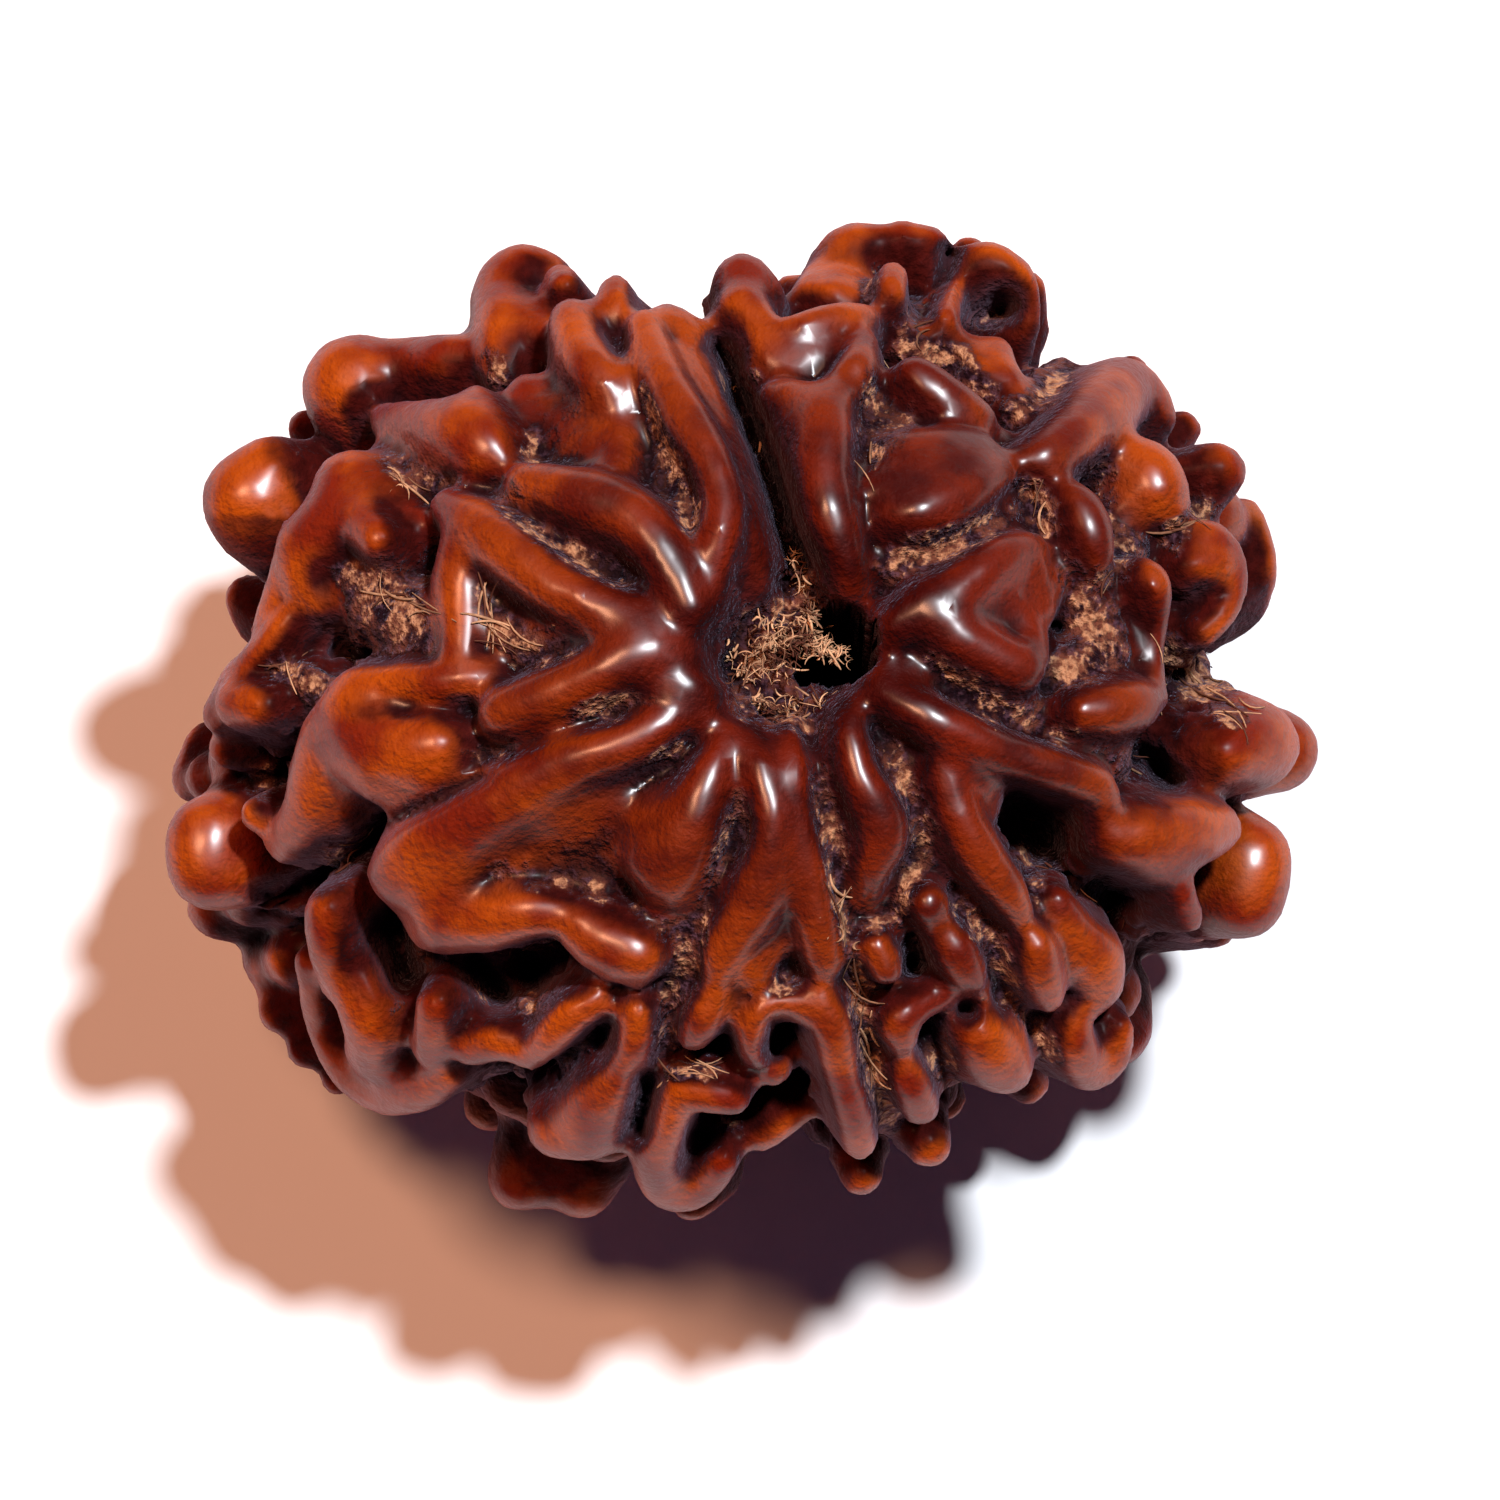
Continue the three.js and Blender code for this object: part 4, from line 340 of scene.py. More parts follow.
# Shallow valley floors between the ridges, where dry fruit skin clings: across, up, half
# width and amount.
FLOORS = [
    [[-2.5, 8.6, 0.3, 0.8], [-1.9, 6.8, 0.35, 0.9], [-1.3, 5.0, 0.35, 0.8], [-1.2, 4.0, 0.3, 0.6]],
    [[-4.6, 8.1, 0.7, 0.6], [-5.4, 7.0, 0.6, 0.7], [-6.1, 5.6, 0.5, 0.8], [-4.9, 4.7, 0.4, 0.8],
     [-3.6, 4.0, 0.45, 0.7], [-2.6, 3.3, 0.35, 0.6]],
    [[-9.2, 6.8, 0.4, 0.7], [-8.4, 6.3, 0.5, 0.8], [-7.4, 6.2, 0.4, 0.7]],
    [[-6.7, 9.9, 0.4, 0.8], [-6.2, 9.0, 0.4, 0.8]],
    [[-6.8, 3.2, 0.4, 1.0], [-5.9, 2.2, 0.6, 0.9], [-4.9, 2.0, 0.6, 0.7], [-3.9, 1.9, 0.3, 0.6]],
    [[-4.6, 0.1, 0.4, 0.6], [-3.6, 0.4, 0.45, 0.9], [-2.5, 0.6, 0.35, 0.8], [-1.8, 0.3, 0.3, 0.7]],
    [[-6.8, -0.9, 0.4, 0.6], [-5.8, -0.4, 0.45, 0.5]],
    [[-7.4, -1.7, 0.3, 0.7], [-8.6, -2.1, 0.3, 0.6]],
    [[-10.2, 3.9, 0.5, 0.7], [-9.0, 3.0, 0.8, 0.9], [-7.9, 2.0, 0.5, 0.8]],
    [[-12.0, 1.4, 0.4, 0.8], [-11.0, 0.9, 0.4, 0.8]],
    [[-6.3, -3.9, 0.6, 0.7], [-4.9, -3.9, 0.5, 0.7], [-3.6, -4.3, 0.4, 0.8]],
    [[3.1, 9.6, 0.3, 0.7], [3.4, 8.2, 0.4, 0.8], [3.4, 7.0, 0.5, 1.0], [4.3, 7.6, 0.5, 0.8]],
    [[0.4, 9.0, 0.3, 0.5], [1.6, 9.3, 0.5, 0.6]], [[3.0, 11.4, 0.5, 0.8]],
    [[4.6, 10.8, 0.3, 0.8], [4.3, 9.8, 0.4, 0.8], [5.4, 9.5, 0.5, 0.8], [6.3, 8.7, 0.5, 0.7]],
    [[7.0, 8.0, 0.4, 0.7], [7.5, 8.4, 0.4, 0.8], [8.3, 8.9, 0.4, 0.8]],
    [[6.6, 7.1, 0.4, 0.6], [7.2, 6.2, 0.4, 0.7], [7.8, 5.6, 0.4, 0.8], [7.7, 4.9, 0.4, 0.8]],
    [[3.2, 4.0, 0.35, 0.7], [4.2, 4.3, 0.45, 0.8], [5.4, 4.7, 0.5, 0.9], [6.6, 5.2, 0.5, 0.8]],
    [[9.5, 6.6, 0.5, 0.7], [9.6, 5.3, 0.4, 0.6]], [[11.2, 5.0, 0.4, 1.0], [11.9, 5.5, 0.4, 0.8]],
    [[9.4, 3.7, 0.4, 0.9], [10.0, 4.6, 0.4, 0.8]],
    [[8.2, 3.9, 0.5, 0.8], [8.9, 2.9, 0.6, 0.8], [9.4, 1.8, 0.6, 0.8], [8.3, 1.3, 0.5, 0.8]],
    [[4.4, 1.5, 0.35, 0.7], [5.3, 1.2, 0.45, 0.8], [6.3, 0.5, 0.5, 0.8], [7.4, 0.1, 0.5, 0.6]],
    [[8.0, -0.4, 0.5, 0.5], [9.4, -0.8, 0.5, 0.4]],
    [[1.95, -1.2, 0.25, 0.7], [2.1, -2.4, 0.35, 0.8], [2.45, -3.6, 0.35, 0.9],
     [2.5, -4.8, 0.35, 1.0],
     [2.85, -6.2, 0.35, 1.0], [3.1, -7.6, 0.3, 1.0], [3.4, -9.2, 0.3, 1.0], [3.8, -10.4, 0.3, 1.0]],
    [[3.9, -0.8, 0.35, 0.6], [4.4, -2.0, 0.4, 0.8], [4.6, -3.0, 0.35, 0.9], [4.4, -4.0, 0.4, 0.8],
     [4.0, -5.0, 0.35, 0.8]],
    [[-0.1, -1.6, 0.3, 0.7], [-0.3, -2.8, 0.45, 0.8], [-0.8, -3.9, 0.4, 0.7],
     [-1.2, -5.0, 0.5, 0.7],
     [-1.4, -6.2, 0.45, 0.8], [-1.8, -7.1, 0.4, 0.7]],
    [[1.0, -2.8, 0.2, 0.5], [1.1, -3.8, 0.25, 0.5]],
    [[0.2, -7.0, 0.4, 0.6], [1.0, -6.8, 0.45, 0.7]],
    [[-2.6, -4.9, 0.4, 0.6], [-1.8, -5.4, 0.4, 0.7]], [[3.4, -5.2, 0.4, 0.8]],
    [[5.6, -4.8, 0.4, 0.7], [6.6, -6.0, 0.4, 0.7], [7.0, -7.2, 0.4, 0.6]],
    [[7.5, -7.8, 0.35, 0.8], [8.1, -8.7, 0.3, 0.8]], [[5.2, -8.8, 0.5, 0.8]],
    [[-1.8, -9.1, 0.25, 1.0], [-0.8, -9.1, 0.25, 1.0]], [[-2.0, -8.0, 0.4, 0.7]],
    [[-2.3, -0.9, 0.25, 0.8], [-1.7, -0.7, 0.3, 0.8]],
]
# Half width and drop of the low swell that carries a floor.
FLOOR_WIDTH, FLOOR_DROP = 1.25, 1.2

# Dark holes between the knobs: across, up, half width and depth away from the eye.
HOLES = [
    [[6.8, 10.8, 0.35, 2.0], [6.3, 10.5, 0.3, 1.2]], [[7.2, -2.2, 0.4, 1.2], [8.0, -3.0, 0.6, 2.0]],
    [[-9.1, -5.4, 0.4, 1.6], [-8.8, -6.6, 0.4, 1.6]],
    [[-6.9, -6.4, 0.35, 1.2], [-6.3, -7.1, 0.4, 1.6]],
    [[-5.4, -6.5, 0.35, 1.4]],
    [[1.0, -8.0, 0.3, 1.6], [0.8, -8.5, 0.25, 1.4]], [[-1.0, -10.8, 0.3, 1.2]],
    [[-0.7, 9.7, 0.3, 1.4], [-0.2, 8.8, 0.28, 1.4], [0.3, 7.6, 0.3, 1.6], [0.75, 6.4, 0.32, 1.6],
     [1.1, 5.2, 0.35, 1.6], [1.5, 4.2, 0.35, 1.4]],
    [[-12.4, -4.5, 0.3, 1.2], [-10.6, -3.9, 0.25, 1.2], [-9.2, -2.7, 0.22, 1.0],
     [-8.0, -2.05, 0.2, 0.8],
     [-6.8, -1.45, 0.17, 0.6]],
    [[5.85, -7.5, 0.25, 1.2]],
    [[4.5, -6.3, 0.25, 1.2]], [[9.7, -4.6, 0.5, 1.4]], [[-12.9, 3.5, 0.3, 1.2]],
    [[-2.5, -9.4, 0.3, 1.4], [-2.7, -10.6, 0.3, 1.4]],
    [[10.4, -0.9, 0.3, 1.0], [11.2, -1.6, 0.35, 1.2]],
    [[2.4, 1.0, 0.5, 1.0]], [[5.4, 12.2, 0.22, 1.6], [5.2, 11.5, 0.2, 1.2], [4.8, 10.6, 0.2, 0.8]],
]

# Scraps in deeper places, in the same form.
DEEP_SCRAPS = [
    [[0.1, 1.4, 0.5, 0.6], [1.2, 2.0, 0.5, 0.9], [2.2, 2.2, 0.4, 0.9]],
    [[0.4, 2.6, 0.7, 0.5], [1.6, 2.8, 0.4, 0.8]],
    [[1.5, 3.8, 0.3, 0.8], [2.0, 2.4, 0.3, 1.0]], [[0.3, 0.5, 0.6, 0.7], [1.6, 0.0, 0.4, 0.7]],
    [[-0.5, 9.0, 0.3, 0.7], [0.1, 7.8, 0.3, 0.6]], [[-12.4, -1.5, 0.5, 0.6]],
    [[-10.6, -3.5, 0.3, 0.8], [-9.7, -3.0, 0.3, 0.8]], [[6.5, 10.5, 0.4, 0.6]],
    [[11.1, 1.7, 0.5, 1.0], [12.0, 1.0, 0.6, 1.0], [13.0, 0.1, 0.4, 1.0]],
    [[7.3, -3.0, 0.2, 0.9], [7.8, -4.9, 0.2, 0.9]],
    [[-4.8, -5.6, 0.3, 0.8], [-5.4, -6.7, 0.3, 0.8]],
    [[-0.3, -10.3, 0.4, 0.7]],
    [[-6.6, -7.0, 0.3, 0.8]], [[-5.5, -7.4, 0.4, 0.7]], [[-9.0, -7.4, 0.4, 0.5]],
]

# Where longer fibres lie: across, up, spread, and how many at each quarter millimetre.
TUFTS = [
    [[-6.8, 3.2, 0.15, 2], [-6.4, 2.4, 0.15, 2], [-5.9, 2.0, 0.15, 1]],
    [[-9.6, 3.5, 0.4, 1], [-8.0, 2.8, 0.3, 1]], [[-9.2, 6.8, 0.15, 1], [-8.3, 6.0, 0.15, 1]],
    [[11.2, 5.0, 0.1, 2], [12.6, 5.9, 0.1, 1]],
    [[11.1, 1.7, 0.4, 3], [12.2, 1.0, 0.4, 4], [13.0, 0.2, 0.3, 3]],
    [[2.4, -4.5, 0.1, 1], [3.0, -7.0, 0.1, 1], [3.6, -10.2, 0.1, 1]],
    [[-1.9, -9.1, 0.1, 2], [-0.8, -9.0, 0.1, 2]], [[-4.8, -5.6, 0.1, 2], [-5.4, -6.7, 0.1, 1]],
    [[3.4, 7.0, 0.3, 1], [3.3, 6.4, 0.2, 1]], [[4.6, 10.8, 0.15, 1], [4.3, 9.8, 0.15, 1]],
    [[9.4, 3.7, 0.1, 1], [10.2, 4.4, 0.1, 1]], [[-10.6, -3.5, 0.1, 1], [-9.7, -3.0, 0.1, 1]],
    [[-12.0, 1.4, 0.2, 1], [-11.0, 0.6, 0.2, 1]], [[7.7, 6.0, 0.1, 1], [7.7, 5.3, 0.1, 1]],
]

# The torn mat of fibres over the mouth of the bore, in the same form.
MAT = [
    [[-0.3, 1.5, 0.4, 5], [0.3, 1.8, 0.3, 18], [1.0, 2.0, 0.3, 34], [1.7, 2.1, 0.25, 36],
     [2.5, 1.7, 0.14, 16]],
    [[0.4, 2.7, 0.3, 5], [1.0, 2.5, 0.25, 12], [1.7, 2.5, 0.2, 16]],
    [[1.35, 4.3, 0.07, 8], [1.6, 3.4, 0.09, 10], [1.8, 2.7, 0.12, 12]],
    [[0.4, 0.5, 0.25, 10], [1.3, 0.35, 0.3, 16], [2.2, 0.5, 0.2, 12]],
    [[-0.6, 1.0, 0.3, 4], [0.3, 1.3, 0.3, 6], [1.2, 1.4, 0.2, 5]],
]
# How deep the fibres of the mat hang, and their lengths and half widths.
MAT_DEPTH = (2.1, 3.1)
MAT_LENGTH = (0.2, 0.75)
MAT_WIDTH = (0.008, 0.035)
# Fibres of one clump are about as pale as each other.
CLUMP_SIZE, CLUMP_CONTRAST = 0.55, 1.3


def sighted_place(across, up, inset, far):
    """Where a line of sight meets the envelope, taken in by inset, on its near or far side."""
    along = np.array([across, 0, 0]) + SIGHT_UP * up - SIGHT_POINT
    size = HALF_SIZE - inset
    start, step = SIGHT_POINT / size, along / size
    a, b, c = step @ step, start @ step, start @ start - 1
    reach = math.sqrt(max(b * b - a * c, 0)) / a
    span = np.linalg.norm(along)
    offset = max(reach, RIM_FALL / span) if far else -max(reach, RIM_RISE / span)
    return SIGHT_POINT + along * (-b / a + offset)


def outward_place(direction, inset):
    """The place on the envelope, taken in by inset, straight out from the middle."""
    return direction / np.linalg.norm(direction / (HALF_SIZE - inset), axis=-1, keepdims=True)


def smooth_places(places, spacing):
    """A smooth curve through rows of four numbers, in steps of about the spacing."""
    smooth = []
    for i in range(len(places) - 1):
        before, start = np.array(places[max(i - 1, 0)]), np.array(places[i])
        end, after = np.array(places[i + 1]), np.array(places[min(i + 2, len(places) - 1)])
        steps = max(1, round(math.hypot(end[0] - start[0], end[1] - start[1]) / spacing))
        lean, next_lean = (end - before) / 2, (after - start) / 2
        rise = 3 * (end - start) - 2 * lean - next_lean
        fall = 2 * (start - end) + lean + next_lean
        for k in range(steps):
            t = k / steps
            smooth.append(start + t * (lean + t * (rise + t * fall)))
    smooth.append(np.array(places[-1]))
    return smooth


def sighted_spokes(ridges, far=False):
    """Spokes along the sighted ridges.

    Each is its round top's centre and half width, its stem's axis, and the slope of its flank.
    """
    spokes = []
    lean = 0 if far else STEM_LEAN
    for ridge in ridges:
        for across, up, radius, drop in smooth_places(ridge, SPOKE_SPACING):
            centre = sighted_place(across, up, radius + drop, far)
            axis = centre / np.linalg.norm(centre) + lean * SIGHT_POINT / SIGHT_DISTANCE
            spokes.append((centre, radius, axis / np.linalg.norm(axis), FLANK_SLOPE))
    return spokes


def under_direction(turn, slope):
    """Direction on the underside: turn round the axis, and slope away from straight down."""
    lean = slope + TILT * math.sin(turn) * (slope / (math.pi / 2)) ** 2
    direction = np.array([math.cos(turn) * math.sin(lean), math.sin(turn) * math.sin(lean),
                          -math.cos(lean)])
    direction[0] += max(math.cos(slope), 0) ** 2 * BORE_X / HALF_SIZE[2]
    return direction / np.linalg.norm(direction)


def under_ridge(path):
    spokes = []
    for turn, slope, radius, drop in smooth_places(path, UNDER_SPACING):
        axis = under_direction(turn, slope)
        spokes.append((outward_place(axis, radius + drop), radius, axis, UNDER_FLANK_SLOPE))
    return spokes


class Draws:
    """Random numbers that are the same every time."""

    def __init__(self, seed):
        self.state = seed

    def between(self, low, high):
        self.state = (self.state * DRAW_FACTOR + DRAW_STEP) % DRAW_RANGE
        return low + (high - low) * self.state / DRAW_RANGE


def underside_spokes():
    """Each segment leaves the pole, forks in two, and ends in knobs at the rim.

    Its rows hold turns, slopes, half widths and drops.
    """
    between = Draws(SEED).between
    share = 2 * math.pi / SEGMENTS
    spokes = []
    for i in range(SEGMENTS):
        middle = (i + between(0.35, 0.65)) * share
        fork = between(0.62, 0.8)
        spokes += under_ridge([[middle, POLE_SLOPE, 0.4, 1.0],
                               [middle + between(-0.05, 0.05), STEM_SLOPE, 0.55, 0.3],
                               [middle, fork, 0.75, 0.2]])
        for side in (-1, 1):
            spread = side * share * between(0.2, 0.27)
            bend = between(-0.05, 0.05)
            branch = [[middle, fork, 0.7, 0.2],
                      [middle + spread * 0.7, fork + 0.18, between(0.6, 0.85), 0.15],
                      [middle + spread + bend, fork + 0.36, between(0.55, 0.8), 0.1],
                      [middle + spread * 0.9, RIM_SLOPE, between(0.75, 0.95), between(0, 0.2)]]
            twig = [[middle + spread + bend, fork + 0.3, 0.5, 0.4],
                    [middle + spread * 1.6, fork + between(0.3, 0.42), between(0.45, 0.6), 0.3]]
            spokes += under_ridge(branch) + under_ridge(twig)
        for slope, drop in RIM_ROWS:
            for k in range(RIM_KNOBS):
                turn = middle + share * ((k + between(0.3, 0.7)) / RIM_KNOBS - 0.5)
                lift = slope + between(-0.04, 0.04)
                spokes += under_ridge([[turn, lift, between(0.6, 0.95), drop + between(0, 0.4)]])
    return spokes


def clear_of(spokes, others, gap):
    """Leaves out the spokes that come too near to the others."""
    centres = np.array([spoke[0] for spoke in others])
    axes = centres / np.linalg.norm(centres, axis=1)[:, None]
    radii = np.array([spoke[1] for spoke in others])
    kept = []
    for spoke in spokes:
        reach = np.linalg.norm(spoke[0])
        apart = np.arccos(np.clip(axes @ (spoke[0] / reach), -1, 1)) * reach
        if np.all(apart > gap + radii):
            kept.append(spoke)
    return kept


def seen_at(place):
    """Where a place is seen on the sighting plane, and how much wider things look there."""
    grown = SIGHT_DISTANCE / (SIGHT_DISTANCE - place @ SIGHT_POINT / SIGHT_DISTANCE)
    return np.array([place[0], place @ SIGHT_UP]) * grown, grown


def compass(steps):
    turns = np.arange(steps) * 2 * math.pi / steps
    return np.stack([np.cos(turns), np.sin(turns)], axis=1)


def outline_of(spokes):
    """How far out the spokes' round tops are seen, in every direction round the middle."""
    rays = compass(OUTLINE_STEPS)
    outline = np.zeros(OUTLINE_STEPS)
    for centre, radius, *_ in spokes:
        middle, grown = seen_at(centre)
        along = rays @ middle
        room = (radius * grown) ** 2 - (middle @ middle - along ** 2)
        hit = (room > 0) & (along > 0)
        outline[hit] = np.maximum(outline[hit], along[hit] + np.sqrt(room[hit]))
    return outline


def within_outline(spokes, outline):
    """Sinks the spokes that would show past the outline, and leaves out those that still would."""
    ring = compass(EDGE_POINTS)
    kept = []
    for centre, radius, axis, slope in spokes:
        for k in range(SINK_STEPS):
            sunk = centre * (1 - k * SINK_STEP / np.linalg.norm(centre))
            middle, grown = seen_at(sunk)
            edge = middle + ring * radius * grown
            turns = np.arctan2(edge[:, 1], edge[:, 0]) / (2 * math.pi)
            steps = np.round((turns + 1) * OUTLINE_STEPS).astype(int) % OUTLINE_STEPS
            if np.all(np.hypot(edge[:, 0], edge[:, 1]) < outline[steps] - OUTLINE_GAP):
                kept.append((sunk, radius, axis, slope))
                break
    return kept


def nothing_selected():
    if bpy.context.object and bpy.context.object.mode != "OBJECT":
        bpy.ops.object.mode_set(mode="OBJECT")
    bpy.ops.object.select_all(action="DESELECT")


def chosen(piece):
    nothing_selected()
    piece.select_set(True)
    bpy.context.view_layer.objects.active = piece


def applied(piece, kind, **settings):
    """Puts a modifier on the piece and applies it."""
    chosen(piece)
    modifier = piece.modifiers.new(kind.title(), kind)
    for name, value in settings.items():
        setattr(modifier, name, value)
    bpy.ops.object.modifier_apply(modifier=modifier.name)
    return piece


def corner_values(piece, name):
    values = np.empty(len(piece.data.vertices) * 3)
    piece.data.vertices.foreach_get(name, values)
    return values.reshape(-1, 3)


def corners_of(piece):
    return corner_values(piece, "co")


def normals_of(piece):
    return corner_values(piece, "normal")


def set_corners(piece, places):
    piece.data.vertices.foreach_set("co", places.ravel())
    piece.data.update()


def spoke_shape():
    """One spoke: a round top, and a stem that is extruded from its rim."""
    nothing_selected()
    bpy.ops.mesh.primitive_uv_sphere_add(segments=14, ring_count=10, radius=1)
    spoke = bpy.context.object
    bpy.ops.object.mode_set(mode="EDIT")
    bpy.ops.mesh.select_mode(type="VERT")
    bpy.ops.mesh.select_all(action="DESELECT")
    bpy.ops.object.mode_set(mode="OBJECT")
    for corner in spoke.data.vertices:
        corner.select = corner.co.z < -0.01
    bpy.ops.object.mode_set(mode="EDIT")
    bpy.ops.mesh.delete(type="VERT")
    bpy.ops.mesh.select_all(action="SELECT")
    bpy.ops.mesh.region_to_loop()
    bpy.ops.mesh.extrude_region_move(TRANSFORM_OT_translate={"value": (0, 0, -1)})
    bpy.ops.mesh.edge_face_add()
    bpy.ops.object.mode_set(mode="OBJECT")
    return spoke


def piece_of(name, places, faces):
    """A new piece from the places of its corners, and the corners of each face."""
    mesh = bpy.data.meshes.new(name)
    mesh.from_pydata(places.reshape(-1, 3).tolist(), [], faces)
    piece = bpy.data.objects.new(name, mesh)
    bpy.context.scene.collection.objects.link(piece)
    return piece


def repeated_faces(shape, count):
    """The faces of a shape's copies, whose corners follow each other in one list."""
    faces = [tuple(face.vertices) for face in shape.data.polygons]
    corners = len(shape.data.vertices)
    return [tuple(i + corners * k for i in face) for k in range(count) for face in faces]


def spoke_copies(spoke, spokes, name):
    """Copies of the spoke, pointing inwards from their places, in one mesh."""
    shape = corners_of(spoke)
    base = shape[:, 2] < -0.5
    centres, radii, axes, slopes = (np.array(part) for part in zip(*spokes))
    side = np.cross(axes, np.roll(axes, 1, axis=1))
    side /= np.linalg.norm(side, axis=1)[:, None]
    other = np.cross(axes, side)
    foot = radii + slopes * STEM_LENGTH
    wide = np.where(base[None, :], foot[:, None], radii[:, None])
    high = np.where(base[None, :], -STEM_LENGTH, shape[:, 2][None, :] * radii[:, None])
    places = (centres[:, None] + (wide * shape[:, 0])[..., None] * side[:, None]
              + (wide * shape[:, 1])[..., None] * other[:, None] + high[..., None] * axes[:, None])
    return piece_of(name, places, repeated_faces(spoke, len(spokes)))


def core_shape():
    """The stone's core: the floor of the valleys, with clefts sunk in it."""
    nothing_selected()
    bpy.ops.mesh.primitive_ico_sphere_add(subdivisions=7, radius=1)
    core = bpy.context.object
    directions = corners_of(core)
    directions /= np.linalg.norm(directions, axis=1)[:, None]
    cut = np.zeros(len(directions))
    for cleft in CLEFTS:
        for across, up, radius, depth in smooth_places(cleft, SPOKE_SPACING):
            place = sighted_place(across, up, VALLEY_DEPTH, False)
            reach = np.linalg.norm(place)
            apart = np.linalg.norm(directions - place / reach, axis=1) * reach
            cut = np.maximum(cut, depth * np.exp(-(apart / radius) ** 2))
    floor = outward_place(directions, VALLEY_DEPTH)
    set_corners(core, floor - directions * cut[:, None])
    return core


def joined(pieces):
    nothing_selected()
    for piece in pieces:
        piece.select_set(True)
    bpy.context.view_layer.objects.active = pieces[0]
    bpy.ops.object.join()
    return bpy.context.object


def bored(piece):
    """Cuts the thread bore from pole to pole."""
    nothing_selected()
    bpy.ops.mesh.primitive_cylinder_add(vertices=28, radius=BORE_RADIUS, depth=DRILL_LENGTH,
                                        location=(BORE_X, BORE_Y, 0))
    drill = bpy.context.object
    applied(piece, "BOOLEAN", operation="DIFFERENCE", solver="MANIFOLD", object=drill)
    bpy.data.objects.remove(drill)


def neighbour_links(piece):
    edges = np.empty(len(piece.data.edges) * 2, np.int32)
    piece.data.edges.foreach_get("vertices", edges)
    return edges.reshape(-1, 2).T


def averaged(values, links, rounds):
    """Spreads values over the mesh, towards the average of the neighbours."""
    first, second = links
    values = values.copy()
    count = np.bincount(first, minlength=len(values)) + np.bincount(second, minlength=len(values))
    for _ in range(rounds):
        total = (np.bincount(first, values[second], len(values))
                 + np.bincount(second, values[first], len(values)))
        values += EASING_SHARE * (total / np.maximum(count, 1) - values)
    return values


def grain(places, size, strength, seed):
    """Smooth noise at each place, for lumps of about the given size."""
    offset = Vector([seed * step for step in NOISE_STEPS])
    return strength * np.array([noise.noise(Vector(place) / size + offset) for place in places])


def broad_share(width):
    """How much of the longer easing a round top of this half width takes."""
    return eased_step(width, *BROAD_WIDTHS)


def started_width(width):
    """Easing takes some off each round top, so its spoke starts wider."""
    rounds = EASING_ROUNDS + BROAD_EASING_ROUNDS * broad_share(width)
    return math.sqrt(width ** 2 + rounds * EASING_SHARE * SKIN_PITCH ** 2 / 2)


def bead_skin():
    """The stone's surface, as one closed mesh."""
    seen = sighted_spokes(UPPER_LEFT + TOP + RIGHT + LOWER_RIGHT + LOWER_LEFT)
    seen += sighted_spokes(UNDER_RIM, far=True)
    for x, y in FEET:
        centre = np.array([x, y, FOOT_RADIUS - HALF_SIZE[2]])
        seen.append((centre, FOOT_RADIUS, centre / np.linalg.norm(centre), UNDER_FLANK_SLOPE))
    hidden = clear_of(underside_spokes(), seen, HIDDEN_GAP)
    spokes = seen + within_outline(hidden, outline_of(seen))
    floors = sighted_spokes([[[u, v, FLOOR_WIDTH * width, FLOOR_DROP] for u, v, width, _ in floor]
                             for floor in FLOORS])
    spoke = spoke_shape()
    wider = [(spoke[0], started_width(spoke[1]), *spoke[2:]) for spoke in spokes + floors]
    ridges = spoke_copies(spoke, wider, "ridges")
    bpy.data.objects.remove(spoke)
    bead = joined([core_shape(), ridges])
    bead.name = "carved_bead"
    applied(bead, "REMESH", mode="VOXEL", voxel_size=SKIN_PITCH, adaptivity=0)
    bored(bead)
    applied(bead, "SMOOTH", factor=EASING_SHARE, iterations=EASING_ROUNDS)
    width, _ = nearest_spoke(bead, spokes)
    broad = bead.vertex_groups.new(name="broad")
    for i, share in enumerate(broad_share(width)):
        if share > 0:
            broad.add([i], float(share), "REPLACE")
    applied(bead, "SMOOTH", factor=EASING_SHARE, iterations=BROAD_EASING_ROUNDS,
            vertex_group="broad")
    roughened(bead, spokes)
    holed(bead)
    faces = sum(len(face.vertices) - 2 for face in bead.data.polygons)
    return applied(bead, "DECIMATE", ratio=min(1, SKIN_FACES / faces)), spokes


def nearest_spoke(piece, spokes):
    """Half width of the spoke nearest to each corner, and how far the corner is off its top."""
    tree = kdtree.KDTree(len(spokes))
    for i, spoke in enumerate(spokes):
        tree.insert(spoke[0], i)
    tree.balance()
    found = [tree.find(place)[1:] for place in corners_of(piece)]
    width = np.array([spokes[nearest][1] for nearest, _ in found])
    return width, np.array([distance for _, distance in found]) - width


def height_share(places):
    """0 on the valley floor, 1 on the envelope."""
    reach = np.linalg.norm(places, axis=1)
    floor = np.linalg.norm(outward_place(places / reach[:, None], VALLEY_DEPTH), axis=1)
    return (reach - floor) / VALLEY_DEPTH


def roughened(piece, spokes):
    """Lumps and pits on the valley floor, and slight waves on the slopes."""
    places = corners_of(piece)
    low = 1 - eased_step(height_share(places), 0.2, 0.75)
    _, off = nearest_spoke(piece, spokes)
    slope = eased_step(off, 0.0, 0.6)
    lumps = sum(grain(places, *lump) for lump in LUMPS)
    waves = sum(grain(places, *wave) for wave in WAVES)
    shift = low * slope * lumps + (0.25 + 0.75 * slope) * waves
    set_corners(piece, places + normals_of(piece) * shift[:, None])


